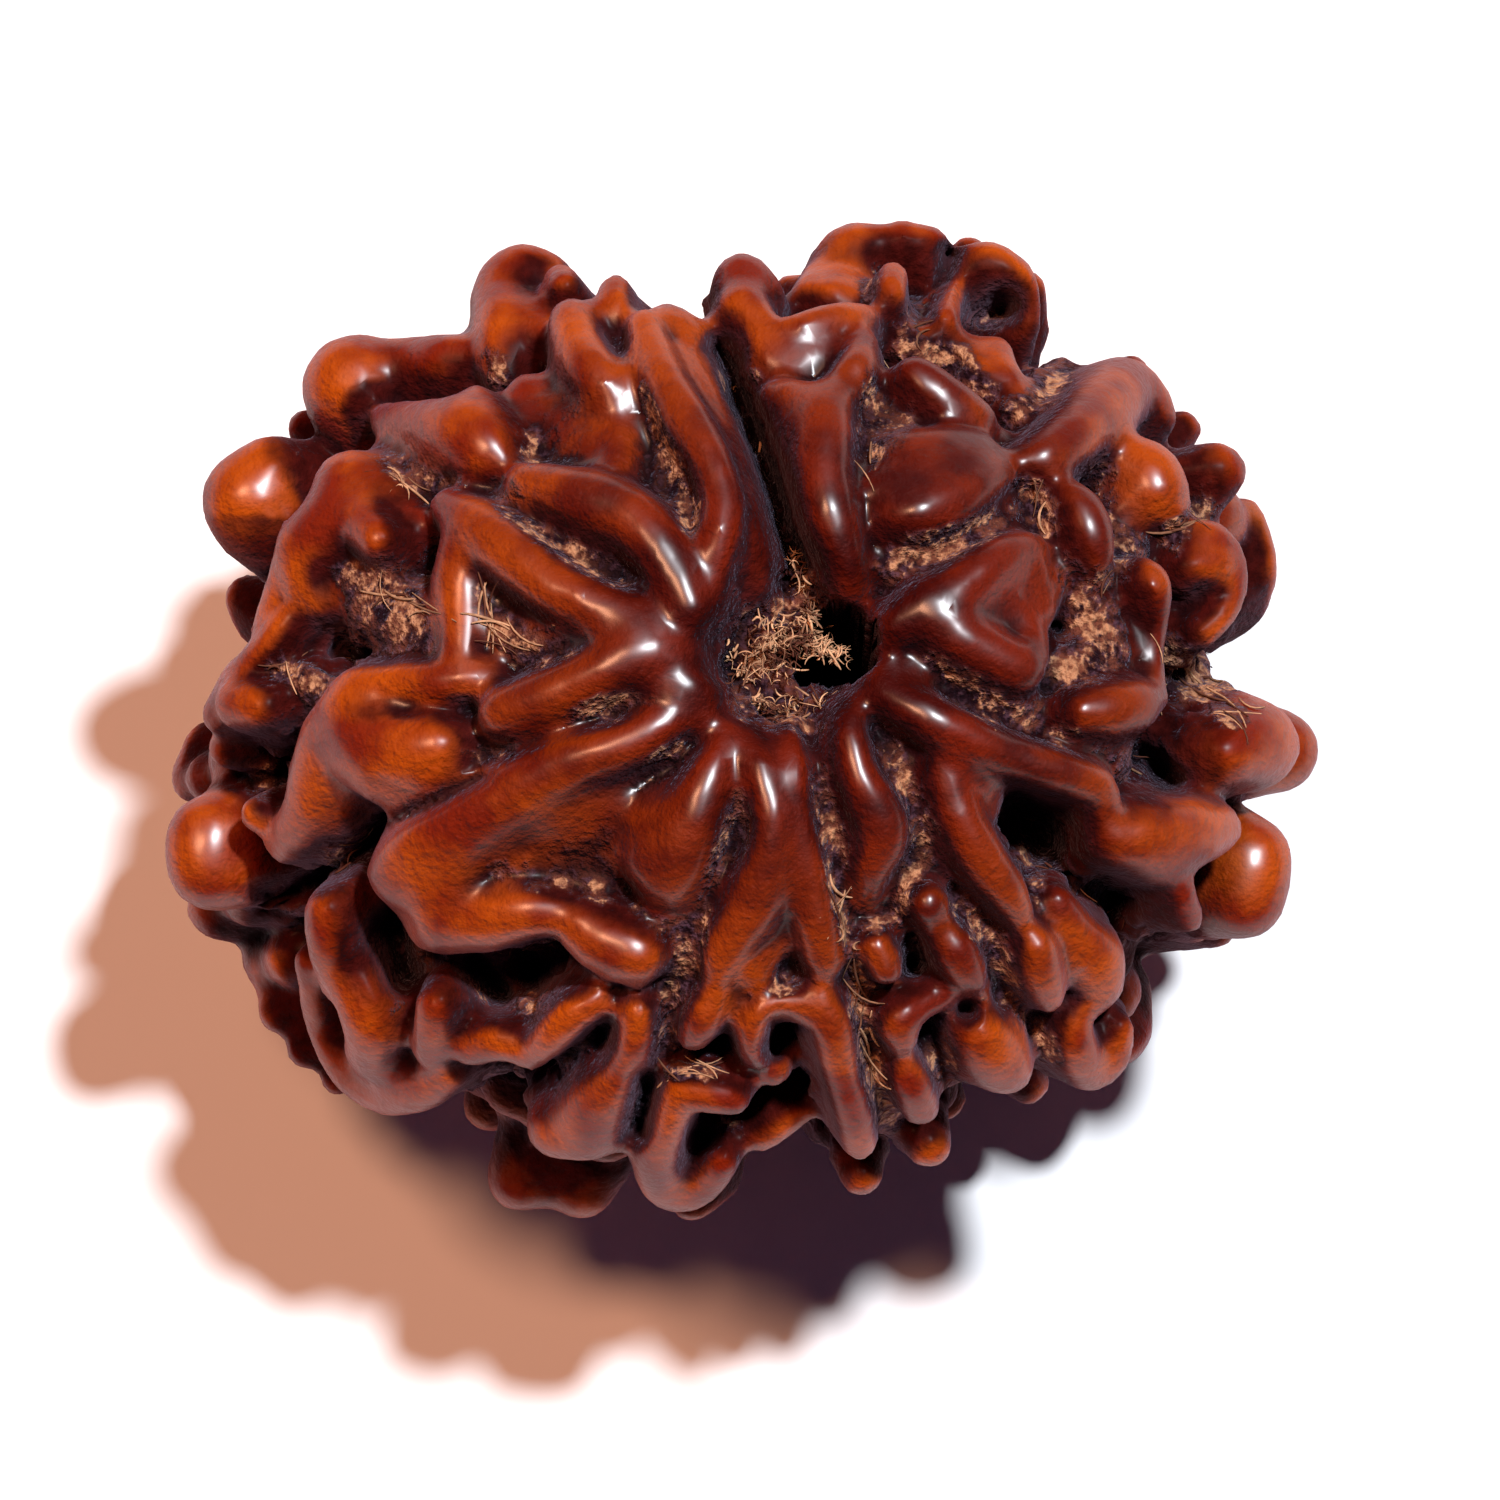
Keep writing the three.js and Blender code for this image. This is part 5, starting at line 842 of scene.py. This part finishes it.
def sighted_amount(places, rows):
    """How much of what the rows set out lies at each place of the upper side."""
    grown = SIGHT_DISTANCE / (SIGHT_DISTANCE - places @ SIGHT_POINT / SIGHT_DISTANCE)
    across, up = places[:, 0] * grown, places @ SIGHT_UP * grown
    facing = places @ SIGHT_POINT > 0
    total = np.zeros(len(places))
    for row in rows:
        for u, v, width, amount in smooth_places(row, ROW_SPACING):
            reach = MARK_REACH * width
            near = facing & (np.abs(across - u) < reach) & (np.abs(up - v) < reach)
            spread = ((across[near] - u) ** 2 + (up[near] - v) ** 2) / width ** 2
            total[near] = np.maximum(total[near], amount * np.exp(-spread))
    return total


def holed(piece):
    """Sinks the dark holes away from the eye."""
    places = corners_of(piece)
    depth = sighted_amount(places, HOLES)
    set_corners(piece, places - depth[:, None] * SIGHT_POINT / SIGHT_DISTANCE)


def add_mark(piece, name, values):
    layer = piece.data.attributes.new(name, "FLOAT", "POINT")
    layer.data.foreach_set("value", np.ascontiguousarray(values, np.float32))


def eased_step(values, low, high):
    t = np.clip((values - low) / (high - low), 0, 1)
    return t * t * (3 - 2 * t)


def skin_marks(bead, spokes):
    """Marks each corner with how high it lies, and how crest-like, hollow, bent and dusty it is.

    The last two marks say how far out from the bore it lies, and how steeply it faces sideways.
    """
    places = corners_of(bead)
    links = neighbour_links(bead)
    normals = normals_of(bead)
    width, off = nearest_spoke(bead, spokes)
    reach = np.linalg.norm(places, axis=1)
    facing = eased_step(np.sum(normals * places, axis=1) / reach, 0.3, 0.95)
    broad = eased_step(width, 0.6, 1.0)
    crest = (1 - eased_step(off, -0.05, 0.9)) * (facing + (1 - facing) * broad)
    # The hollow mark sets where the finish paints shade.
    hollow = eased_step(averaged(reach, links, HOLLOW_ROUNDS) - reach, -0.1, 0.8)
    near = np.stack([averaged(places[:, i], links, BEND_ROUNDS) for i in range(3)], axis=1)
    add_mark(bead, "height", averaged(height_share(places), links, 3))
    add_mark(bead, "crest", averaged(crest, links, 3))
    add_mark(bead, "hollow", averaged(hollow, links, 2))
    add_mark(bead, "floor", averaged(facing * eased_step(off, 0.2, 0.8), links, 2))
    # The bend mark also sets where the finish paints shade in the creases.
    add_mark(bead, "bend", averaged(np.sum((places - near) * normals, axis=1), links, 3))
    add_mark(bead, "dust", averaged(sighted_amount(places, FLOORS + DEEP_SCRAPS), links, 1))
    around = np.hypot(places[:, 0] - BORE_X, places[:, 1] - BORE_Y)
    add_mark(bead, "rim", eased_step(around, *RIM_REACH))
    # The side mark is where the finish paints a pale sheen.
    add_mark(bead, "side", averaged(1 - eased_step(normals[:, 2], 0.1, 0.65), links, 2))


def strand_shape():
    """One strand: a thin ball with few faces, to be drawn out along a path."""
    nothing_selected()
    bpy.ops.mesh.primitive_uv_sphere_add(segments=5, ring_count=8, radius=1)
    return bpy.context.object


def curved_line(middle, turn, curl, length):
    """Four places along a short curved line on the sighting plane."""
    for share in STRAND_SHARES:
        bent = turn + curl * share
        yield middle + length * share * np.array([math.cos(bent), math.sin(bent)])


def strand_paths(bead):
    """Paths of four places each, that lie on the stone, each with its half width and paleness."""
    draws = random.Random(SEED)
    surface = BVHTree.FromObject(bead, bpy.context.evaluated_depsgraph_get())
    paths = []
    for tuft in TUFTS:
        row = smooth_places(tuft, ROW_SPACING)
        for i, (u, v, spread, amount) in enumerate(row):
            ahead = row[min(i + 1, len(row) - 1)] - row[max(i - 1, 0)]
            along = math.atan2(ahead[1], ahead[0])
            for _ in range(round(amount)):
                middle = np.array([u + draws.gauss(0, 0.5) * spread,
                                   v + draws.gauss(0, 0.5) * spread])
                length = draws.uniform(*STRAND_LENGTH)
                path = laid_path(surface, draws, middle, along + draws.gauss(0, 0.5), length)
                paths.append((path, draws.uniform(*STRAND_WIDTH), draws.uniform(0.1, 0.8)))
    for tuft in MAT:
        for u, v, spread, amount in smooth_places(tuft, ROW_SPACING):
            for _ in range(round(amount)):
                middle = np.array([u + draws.gauss(0, 0.6) * spread,
                                   v + draws.gauss(0, 0.6) * spread])
                path = mat_path(draws, middle)
                clump = grain(path[1:2], CLUMP_SIZE, CLUMP_CONTRAST, 7)[0]
                paleness = min(max(0.55 + clump + draws.uniform(-0.25, 0.25), 0), 1)
                paths.append((path, draws.uniform(*MAT_WIDTH), paleness))
    places, normals = corners_of(bead), normals_of(bead)
    low = np.flatnonzero(height_share(places) < 0.3)
    for _ in range(LOOSE_CRUMBS):
        i = low[draws.randrange(len(low))]
        path = loose_path(surface, draws, places[i], normals[i], draws.uniform(*CRUMB_LENGTH))
        paths.append((path, draws.uniform(*CRUMB_WIDTH), draws.uniform(0.0, 0.6)))
    return [path for path in paths if path[0] is not None]


def laid_path(surface, draws, middle, turn, length):
    """Four places on the stone under a short curved line on the sighting plane."""
    path = []
    for u, v in curved_line(middle, turn, draws.gauss(0, 0.8), length):
        along = Vector(np.array([u, 0, 0]) + SIGHT_UP * v - SIGHT_POINT).normalized()
        place, normal, _, _ = surface.ray_cast(Vector(SIGHT_POINT), along)
        if place is None:
            return None
        path.append(np.array(place + normal * draws.uniform(0.0, STRAND_LIFT)))
    steps = [np.linalg.norm(path[k + 1] - path[k]) for k in range(3)]
    return np.array(path) if max(steps) < 0.25 + length * 0.6 else None


def mat_path(draws, middle):
    """Four places of a curled fibre that hangs in the mouth of the bore."""
    depth, turn = draws.uniform(*MAT_DEPTH), draws.uniform(0, 2 * math.pi)
    curl, length = draws.gauss(0, 2.0), draws.uniform(*MAT_LENGTH)
    path = [sighted_place(across, up, depth + draws.uniform(-0.12, 0.12), False)
            for across, up in curved_line(middle, turn, curl, length)]
    return np.array(path)


def loose_path(surface, draws, middle, normal, length):
    """Four places on the stone near a corner in a valley."""
    side = np.cross(normal, [draws.gauss(0, 1) for _ in range(3)])
    side /= np.linalg.norm(side)
    path = []
    for share in STRAND_SHARES:
        above = Vector(middle + side * length * share + normal * 0.1)
        place, outward, _, _ = surface.find_nearest(above)
        path.append(np.array(place + outward * draws.uniform(0.0, STRAND_LIFT)))
    return np.array(path)


def drawn_out(strand, paths, name):
    """Copies of the strand, drawn out along the paths, in one mesh."""
    shape = corners_of(strand)
    share = (shape[:, 2] + 1) / 2
    thick = np.sqrt(np.maximum(np.hypot(shape[:, 0], shape[:, 1]), 1e-6))
    round_part = shape[:, :2] / thick[:, None]
    weights = np.stack([(1 - share) ** 3, 3 * share * (1 - share) ** 2,
                        3 * share ** 2 * (1 - share), share ** 3], axis=1)
    places = []
    for path, width, _ in paths:
        line = weights @ path
        ahead = path[3] - path[0]
        outward = path[1] / np.linalg.norm(path[1])
        side = np.cross(ahead, outward)
        side /= max(np.linalg.norm(side), 1e-6)
        up = np.cross(side, ahead) / max(np.linalg.norm(ahead), 1e-6)
        across, high = round_part[:, :1] * side, STRAND_FLATNESS * round_part[:, 1:] * up
        places.append(line + width * (across + high))
    piece = piece_of(name, np.concatenate(places), repeated_faces(strand, len(paths)))
    add_mark(piece, "tone", np.repeat([tone for _, _, tone in paths], len(shape)))
    return piece


def rubbed_flat(piece):
    """Takes off the wear of the three resting spots."""
    chosen(piece)
    bpy.ops.object.mode_set(mode="EDIT")
    bpy.ops.mesh.select_all(action="SELECT")
    bpy.ops.mesh.bisect(plane_co=(0, 0, -STAND[2]), plane_no=(0, 0, 1), use_fill=True,
                        clear_inner=True)
    bpy.ops.object.mode_set(mode="OBJECT")


def stood(piece):
    """Stands the piece on the floor, in metres."""
    set_corners(piece, (corners_of(piece) + STAND) * MILLIMETRE)
    return piece


def fibre_scraps(bead):
    strand = strand_shape()
    scraps = drawn_out(strand, strand_paths(bead), "fruit_fibres")
    bpy.data.objects.remove(strand)
    return scraps


class Value:
    """A socket of a finish that takes part in sums."""

    def __init__(self, finish, socket):
        self.finish, self.socket = finish, socket

    def _sum(self, operation, *terms):
        return self.finish.node("ShaderNodeMath", {"operation": operation}, dict(enumerate(terms)))

    def __add__(self, other):
        return self._sum("ADD", self, other)

    def __sub__(self, other):
        return self._sum("SUBTRACT", self, other)

    def __rsub__(self, other):
        return self._sum("SUBTRACT", other, self)

    def __mul__(self, other):
        return self._sum("MULTIPLY", self, other)

    __radd__, __rmul__ = __add__, __mul__


class Finish:
    """A node material for one of the stone's surfaces."""

    def __init__(self, name):
        self.material = bpy.data.materials.new(name)
        self.material.use_nodes = True
        self.nodes, self.links = self.material.node_tree.nodes, self.material.node_tree.links
        self.shader = self.nodes["Principled BSDF"]

    def node(self, kind, settings=None, inputs=None, output=0):
        """Adds a node: settings first, then the values or links of its sockets."""
        made = self.nodes.new(kind)
        for name, value in (settings or {}).items():
            if name == "range":
                for socket, number in zip(("From Min", "From Max", "To Min", "To Max"), value):
                    made.inputs[socket].default_value = number
            else:
                setattr(made, name, value)
        for name, value in (inputs or {}).items():
            self.feed(made.inputs[name], value)
        return Value(self, made.outputs[output])

    def feed(self, socket, value):
        if isinstance(value, Value):
            self.links.new(value.socket, socket)
        elif isinstance(value, tuple) and len(value) == 3 and socket.type == "RGBA":
            socket.default_value = (*value, 1)
        else:
            socket.default_value = value

    def mark(self, name):
        return self.node("ShaderNodeAttribute", {"attribute_name": name}, output="Fac")

    def speckle(self, size, detail, roughness):
        """Noise from 0 to 1 with lumps of about this size in millimetres."""
        spot = self.node("ShaderNodeTexCoord", output="Object")
        return self.node("ShaderNodeTexNoise", inputs={
            "Vector": spot, "Scale": MILLIMETRES_IN_A_METRE / size, "Detail": detail,
            "Roughness": roughness}, output="Fac")

    def edge_on(self):
        """0 where the surface is seen face on, 1 where it is seen edge on."""
        return self.node("ShaderNodeLayerWeight", inputs={"Blend": 0.5}, output="Facing")

    def between(self, value, low, high, at_low=0.0, at_high=1.0):
        """A smooth change from at_low to at_high as the value goes from low to high."""
        settings = {"interpolation_type": "SMOOTHSTEP", "range": (low, high, at_low, at_high)}
        return self.node("ShaderNodeMapRange", settings, {"Value": value})

    def blend(self, share, first, second):
        return self.node("ShaderNodeMix", {"data_type": "RGBA"}, {0: share, 6: first, 7: second},
                         output=2)

    def set(self, **values):
        for name, value in values.items():
            self.feed(self.shader.inputs[name.replace("_", " ")], value)


def srgb(*levels):
    """A colour given as it looks on screen, 0 to 255, as light."""
    return tuple(((c / 255 + 0.055) / 1.055) ** 2.4 if c > 10 else c / 255 / 12.92
                 for c in levels)


INNER_RED, INNER_AMBER = srgb(54, 5, 1), srgb(98, 22, 0)
OUTER_RED, OUTER_AMBER = srgb(108, 24, 0), srgb(160, 66, 0)
# Slope colours: partly the stone's own maroon, partly painted shade on the flanks.
MAROON, PALE_MAROON, CLOUDED_MAROON = srgb(36, 4, 3), srgb(58, 11, 8), srgb(68, 26, 27)
# Painted shade along the concave creases.
CREASE_SHADE_BROWN = srgb(24, 5, 7)
DIRT_DARK, DIRT_TAN, DIRT_PURPLE = srgb(26, 10, 16), srgb(98, 54, 42), srgb(88, 62, 76)
# Painted shade in the hollows: near black mottled with dark purple.
PAINTED_SHADE_BLACK, PAINTED_SHADE_PURPLE = srgb(10, 4, 8), srgb(46, 26, 32)
HUSK_BROWN, HUSK_TAN = srgb(104, 62, 46), srgb(186, 136, 100)
# Painted sheen on the steep sides.
PAINTED_SHEEN_LILAC = srgb(152, 114, 130)
FIBRE_BROWN, FIBRE_STRAW, FIBRE_DARK = srgb(84, 44, 30), srgb(226, 178, 136), srgb(50, 22, 18)


def stone_finish():
    """Waxy red-brown crests and maroon slopes, whose flanks are partly painted shade, dusty
    valleys with scraps of dry fruit skin in them, painted shade in the creases and hollows,
    and a faint painted lilac sheen on the steep sides."""
    finish = Finish("waxed_rudraksha_stone")
    blend, between = finish.blend, finish.between
    marks = ("height", "crest", "hollow", "floor", "bend", "dust", "rim", "side")
    height, crest, hollow, floor, bend, dust, rim, side = (finish.mark(name) for name in marks)
    mottle = finish.speckle(2.4, 3, 0.55)
    fine = finish.speckle(0.5, 4, 0.55)
    pores = finish.speckle(0.2, 3, 0.5)
    grit = finish.speckle(0.12, 2, 0.5)
    inner = blend(between(mottle, 0.36, 0.66), INNER_RED, INNER_AMBER)
    outer = blend(between(mottle, 0.36, 0.66), OUTER_RED, OUTER_AMBER)
    amber = blend(rim, inner, outer)
    # Amber on the crests and outward-facing tops, maroon on the flanks and low down: partly the
    # stone's own colour, partly painted shade on the flanks that turn away and on low places.
    tall = between(height + (mottle - 0.5) * 0.25, 0.1, 0.7)
    crest_colour_and_flank_shade = between(crest + bend * 2.5 + (fine - 0.5) * 0.25, 0.2, 1.0) * tall
    slope = blend(between(fine, 0.3, 0.7), MAROON, PALE_MAROON)
    clouded = between(mottle, 0.4, 0.7) * between(crest, 0.0, 0.4) * 0.5
    slope = blend(clouded, slope, CLOUDED_MAROON)
    skin = blend(crest_colour_and_flank_shade, slope, amber)
    # Painted shade: dark brown along the concave creases between the ridges.
    crease_shade = between(bend + (fine - 0.5) * 0.06, -0.01, -0.1) * 0.75
    skin = blend(crease_shade, skin, CREASE_SHADE_BROWN)
    uneven = (fine - 0.5) * 0.7 + (pores - 0.5) * 0.4
    # Painted shade: darker in the hollows and low places, from the hollow and height marks.
    hollow_shade = between(hollow + uneven + (0.5 - height) * 0.4, 0.3, 0.9)
    dirt = between(floor * 0.6 + dust * 0.9 - crest * 0.5 + uneven, 0.1, 0.55)
    grimy = blend(between(fine, 0.38, 0.6), DIRT_DARK, DIRT_TAN)
    grimy = blend(between(pores, 0.45, 0.68) * 0.6, grimy, DIRT_PURPLE)
    colour = blend(dirt, skin, grimy)
    # The painted shade colour is laid over the hollows and low places.
    hollow_shade_colour = blend(between(pores, 0.5, 0.7), PAINTED_SHADE_BLACK, PAINTED_SHADE_PURPLE)
    colour = blend(hollow_shade, colour, hollow_shade_colour)
    dry = (dust + dirt * 0.2) * between(crest, 0.8, 0.3) * between(hollow_shade, 1.0, 0.3, 0.5, 1.0)
    crumbly = (pores - 0.5) * 1.2 + (grit - 0.5) * 0.8 + (fine - 0.5) * 2.2
    scraps = between(dry + crumbly, 0.72, 1.12)
    husk = blend(between(pores, 0.35, 0.65), HUSK_BROWN, HUSK_TAN)
    colour = blend(scraps * 0.85, colour, husk)
    # Painted sheen: pale lilac on the steep sides, strongest out at the rim and weak in the painted
    # shade of the hollows.
    painted_sheen = side * between(mottle, 0.3, 0.7, 0.3, 1.0) * between(hollow_shade, 0.1, 0.6, 1.0, 0.1)
    colour = blend(painted_sheen * between(rim, 0.3, 1.0, 0.08, 0.34), colour, PAINTED_SHEEN_LILAC)
    dull = between(crest * tall, 0.15, 0.8, 0.8, 0.45)
    rough = between(hollow_shade + dirt, 0.0, 0.7, 0.5, 1.3) * (fine + pores + grit * 0.5)
    bump = finish.node("ShaderNodeBump",
                       inputs={"Strength": 0.7, "Distance": 0.0003, "Height": rough})
    finish.set(Base_Color=colour, Roughness=dull, Normal=bump)
    waxed = between(crest * tall, 0.3, 0.85, 0.03, 1.0) * (1 - dirt) * (1 - finish.edge_on())
    finish.set(Coat_Weight=waxed)
    finish.set(Coat_Roughness=0.3, Coat_IOR=1.55, IOR=1.45, Specular_IOR_Level=0.03)
    finish.set(Sheen_Weight=0.07, Sheen_Roughness=0.35, Sheen_Tint=(0.75, 0.65, 0.9))
    return finish.material


def fibre_finish():
    """Straw to brown, dry and dull."""
    finish = Finish("dry_fruit_fibre")
    straw = finish.blend(finish.between(finish.mark("tone"), 0.1, 1.0), FIBRE_BROWN, FIBRE_STRAW)
    darkened = finish.between(finish.speckle(0.2, 3, 0.6), 0.3, 0.7) * 0.5
    finish.set(Base_Color=finish.blend(darkened, straw, FIBRE_DARK), Roughness=0.8)
    finish.set(Specular_IOR_Level=0.2)
    return finish.material


def floor_finish():
    finish = Finish("white_paper_floor")
    soft = finish.speckle(40, 2, 0.5)
    finish.set(Base_Color=finish.blend(soft, (0.86, 0.86, 0.87), (0.9, 0.9, 0.9)), Roughness=0.9)
    return finish.material


def set_floor():
    nothing_selected()
    bpy.ops.mesh.primitive_plane_add(size=2.0, location=(0, 0, -0.00002))
    floor = bpy.context.object
    floor.name = "floor"
    floor.data.materials.append(floor_finish())


def area_light(name, toward, distance, size, power, colour):
    """A round lamp that shines on the bead from the given direction."""
    direction = Vector(toward).normalized()
    lamp = bpy.data.lights.new(name, "AREA")
    lamp.shape, lamp.size, lamp.energy, lamp.color = "DISK", size, power, colour
    holder = bpy.data.objects.new(name, lamp)
    bpy.context.scene.collection.objects.link(holder)
    holder.location = Vector((0, 0, 0.01)) + direction * distance
    holder.rotation_euler = direction.to_track_quat("Z", "Y").to_euler()


def light_room():
    """A cool lamp and a warm one, whose two shadows cross, in a dim room."""
    area_light("cool_key_light", toward=(3.05, 2.4, 11.0), distance=0.45, size=0.035, power=2.9,
               colour=(0.9, 0.94, 1.0))
    area_light("warm_side_light", toward=(-3.0, 1.4, 11.0), distance=0.45, size=0.1, power=1.3,
               colour=(1.0, 0.45, 0.25))
    world = bpy.data.worlds.new("room")
    bpy.context.scene.world = world
    world.use_nodes = True
    backdrop = world.node_tree.nodes["Background"]
    backdrop.inputs["Color"].default_value = (0.52, 0.32, 0.75, 1)
    backdrop.inputs["Strength"].default_value = 0.04
    bpy.context.scene.view_settings.view_transform = "Standard"


def set_camera():
    """Looks down on the bead, leaning a little towards its front."""
    view = bpy.data.cameras.new("view")
    camera = bpy.data.objects.new("view", view)
    bpy.context.scene.collection.objects.link(camera)
    camera.location = Vector((SIGHT_POINT + STAND) * MILLIMETRE)
    camera.rotation_euler = (TILT, 0, 0)
    view.sensor_width = SENSOR_WIDTH
    view.lens = SENSOR_WIDTH * SIGHT_DISTANCE / FRAME_WIDTH
    view.shift_x, view.shift_y = (step / PHOTO_SIDE for step in FRAME_SHIFT)
    bpy.context.scene.camera = camera


def finished(piece, material):
    """Smooth shading and one finish, and the piece goes with the stone."""
    piece.data.materials.clear()
    piece.data.materials.append(material)
    chosen(piece)
    bpy.ops.object.shade_smooth()
    nothing_selected()
    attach(piece, "root")


def main():
    set_camera()
    set_floor()
    light_room()
    bead, spokes = bead_skin()
    rubbed_flat(bead)
    skin_marks(bead, spokes)
    scraps = fibre_scraps(bead)
    finished(stood(bead), stone_finish())
    finished(stood(scraps), fibre_finish())
    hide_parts("bead")


main()
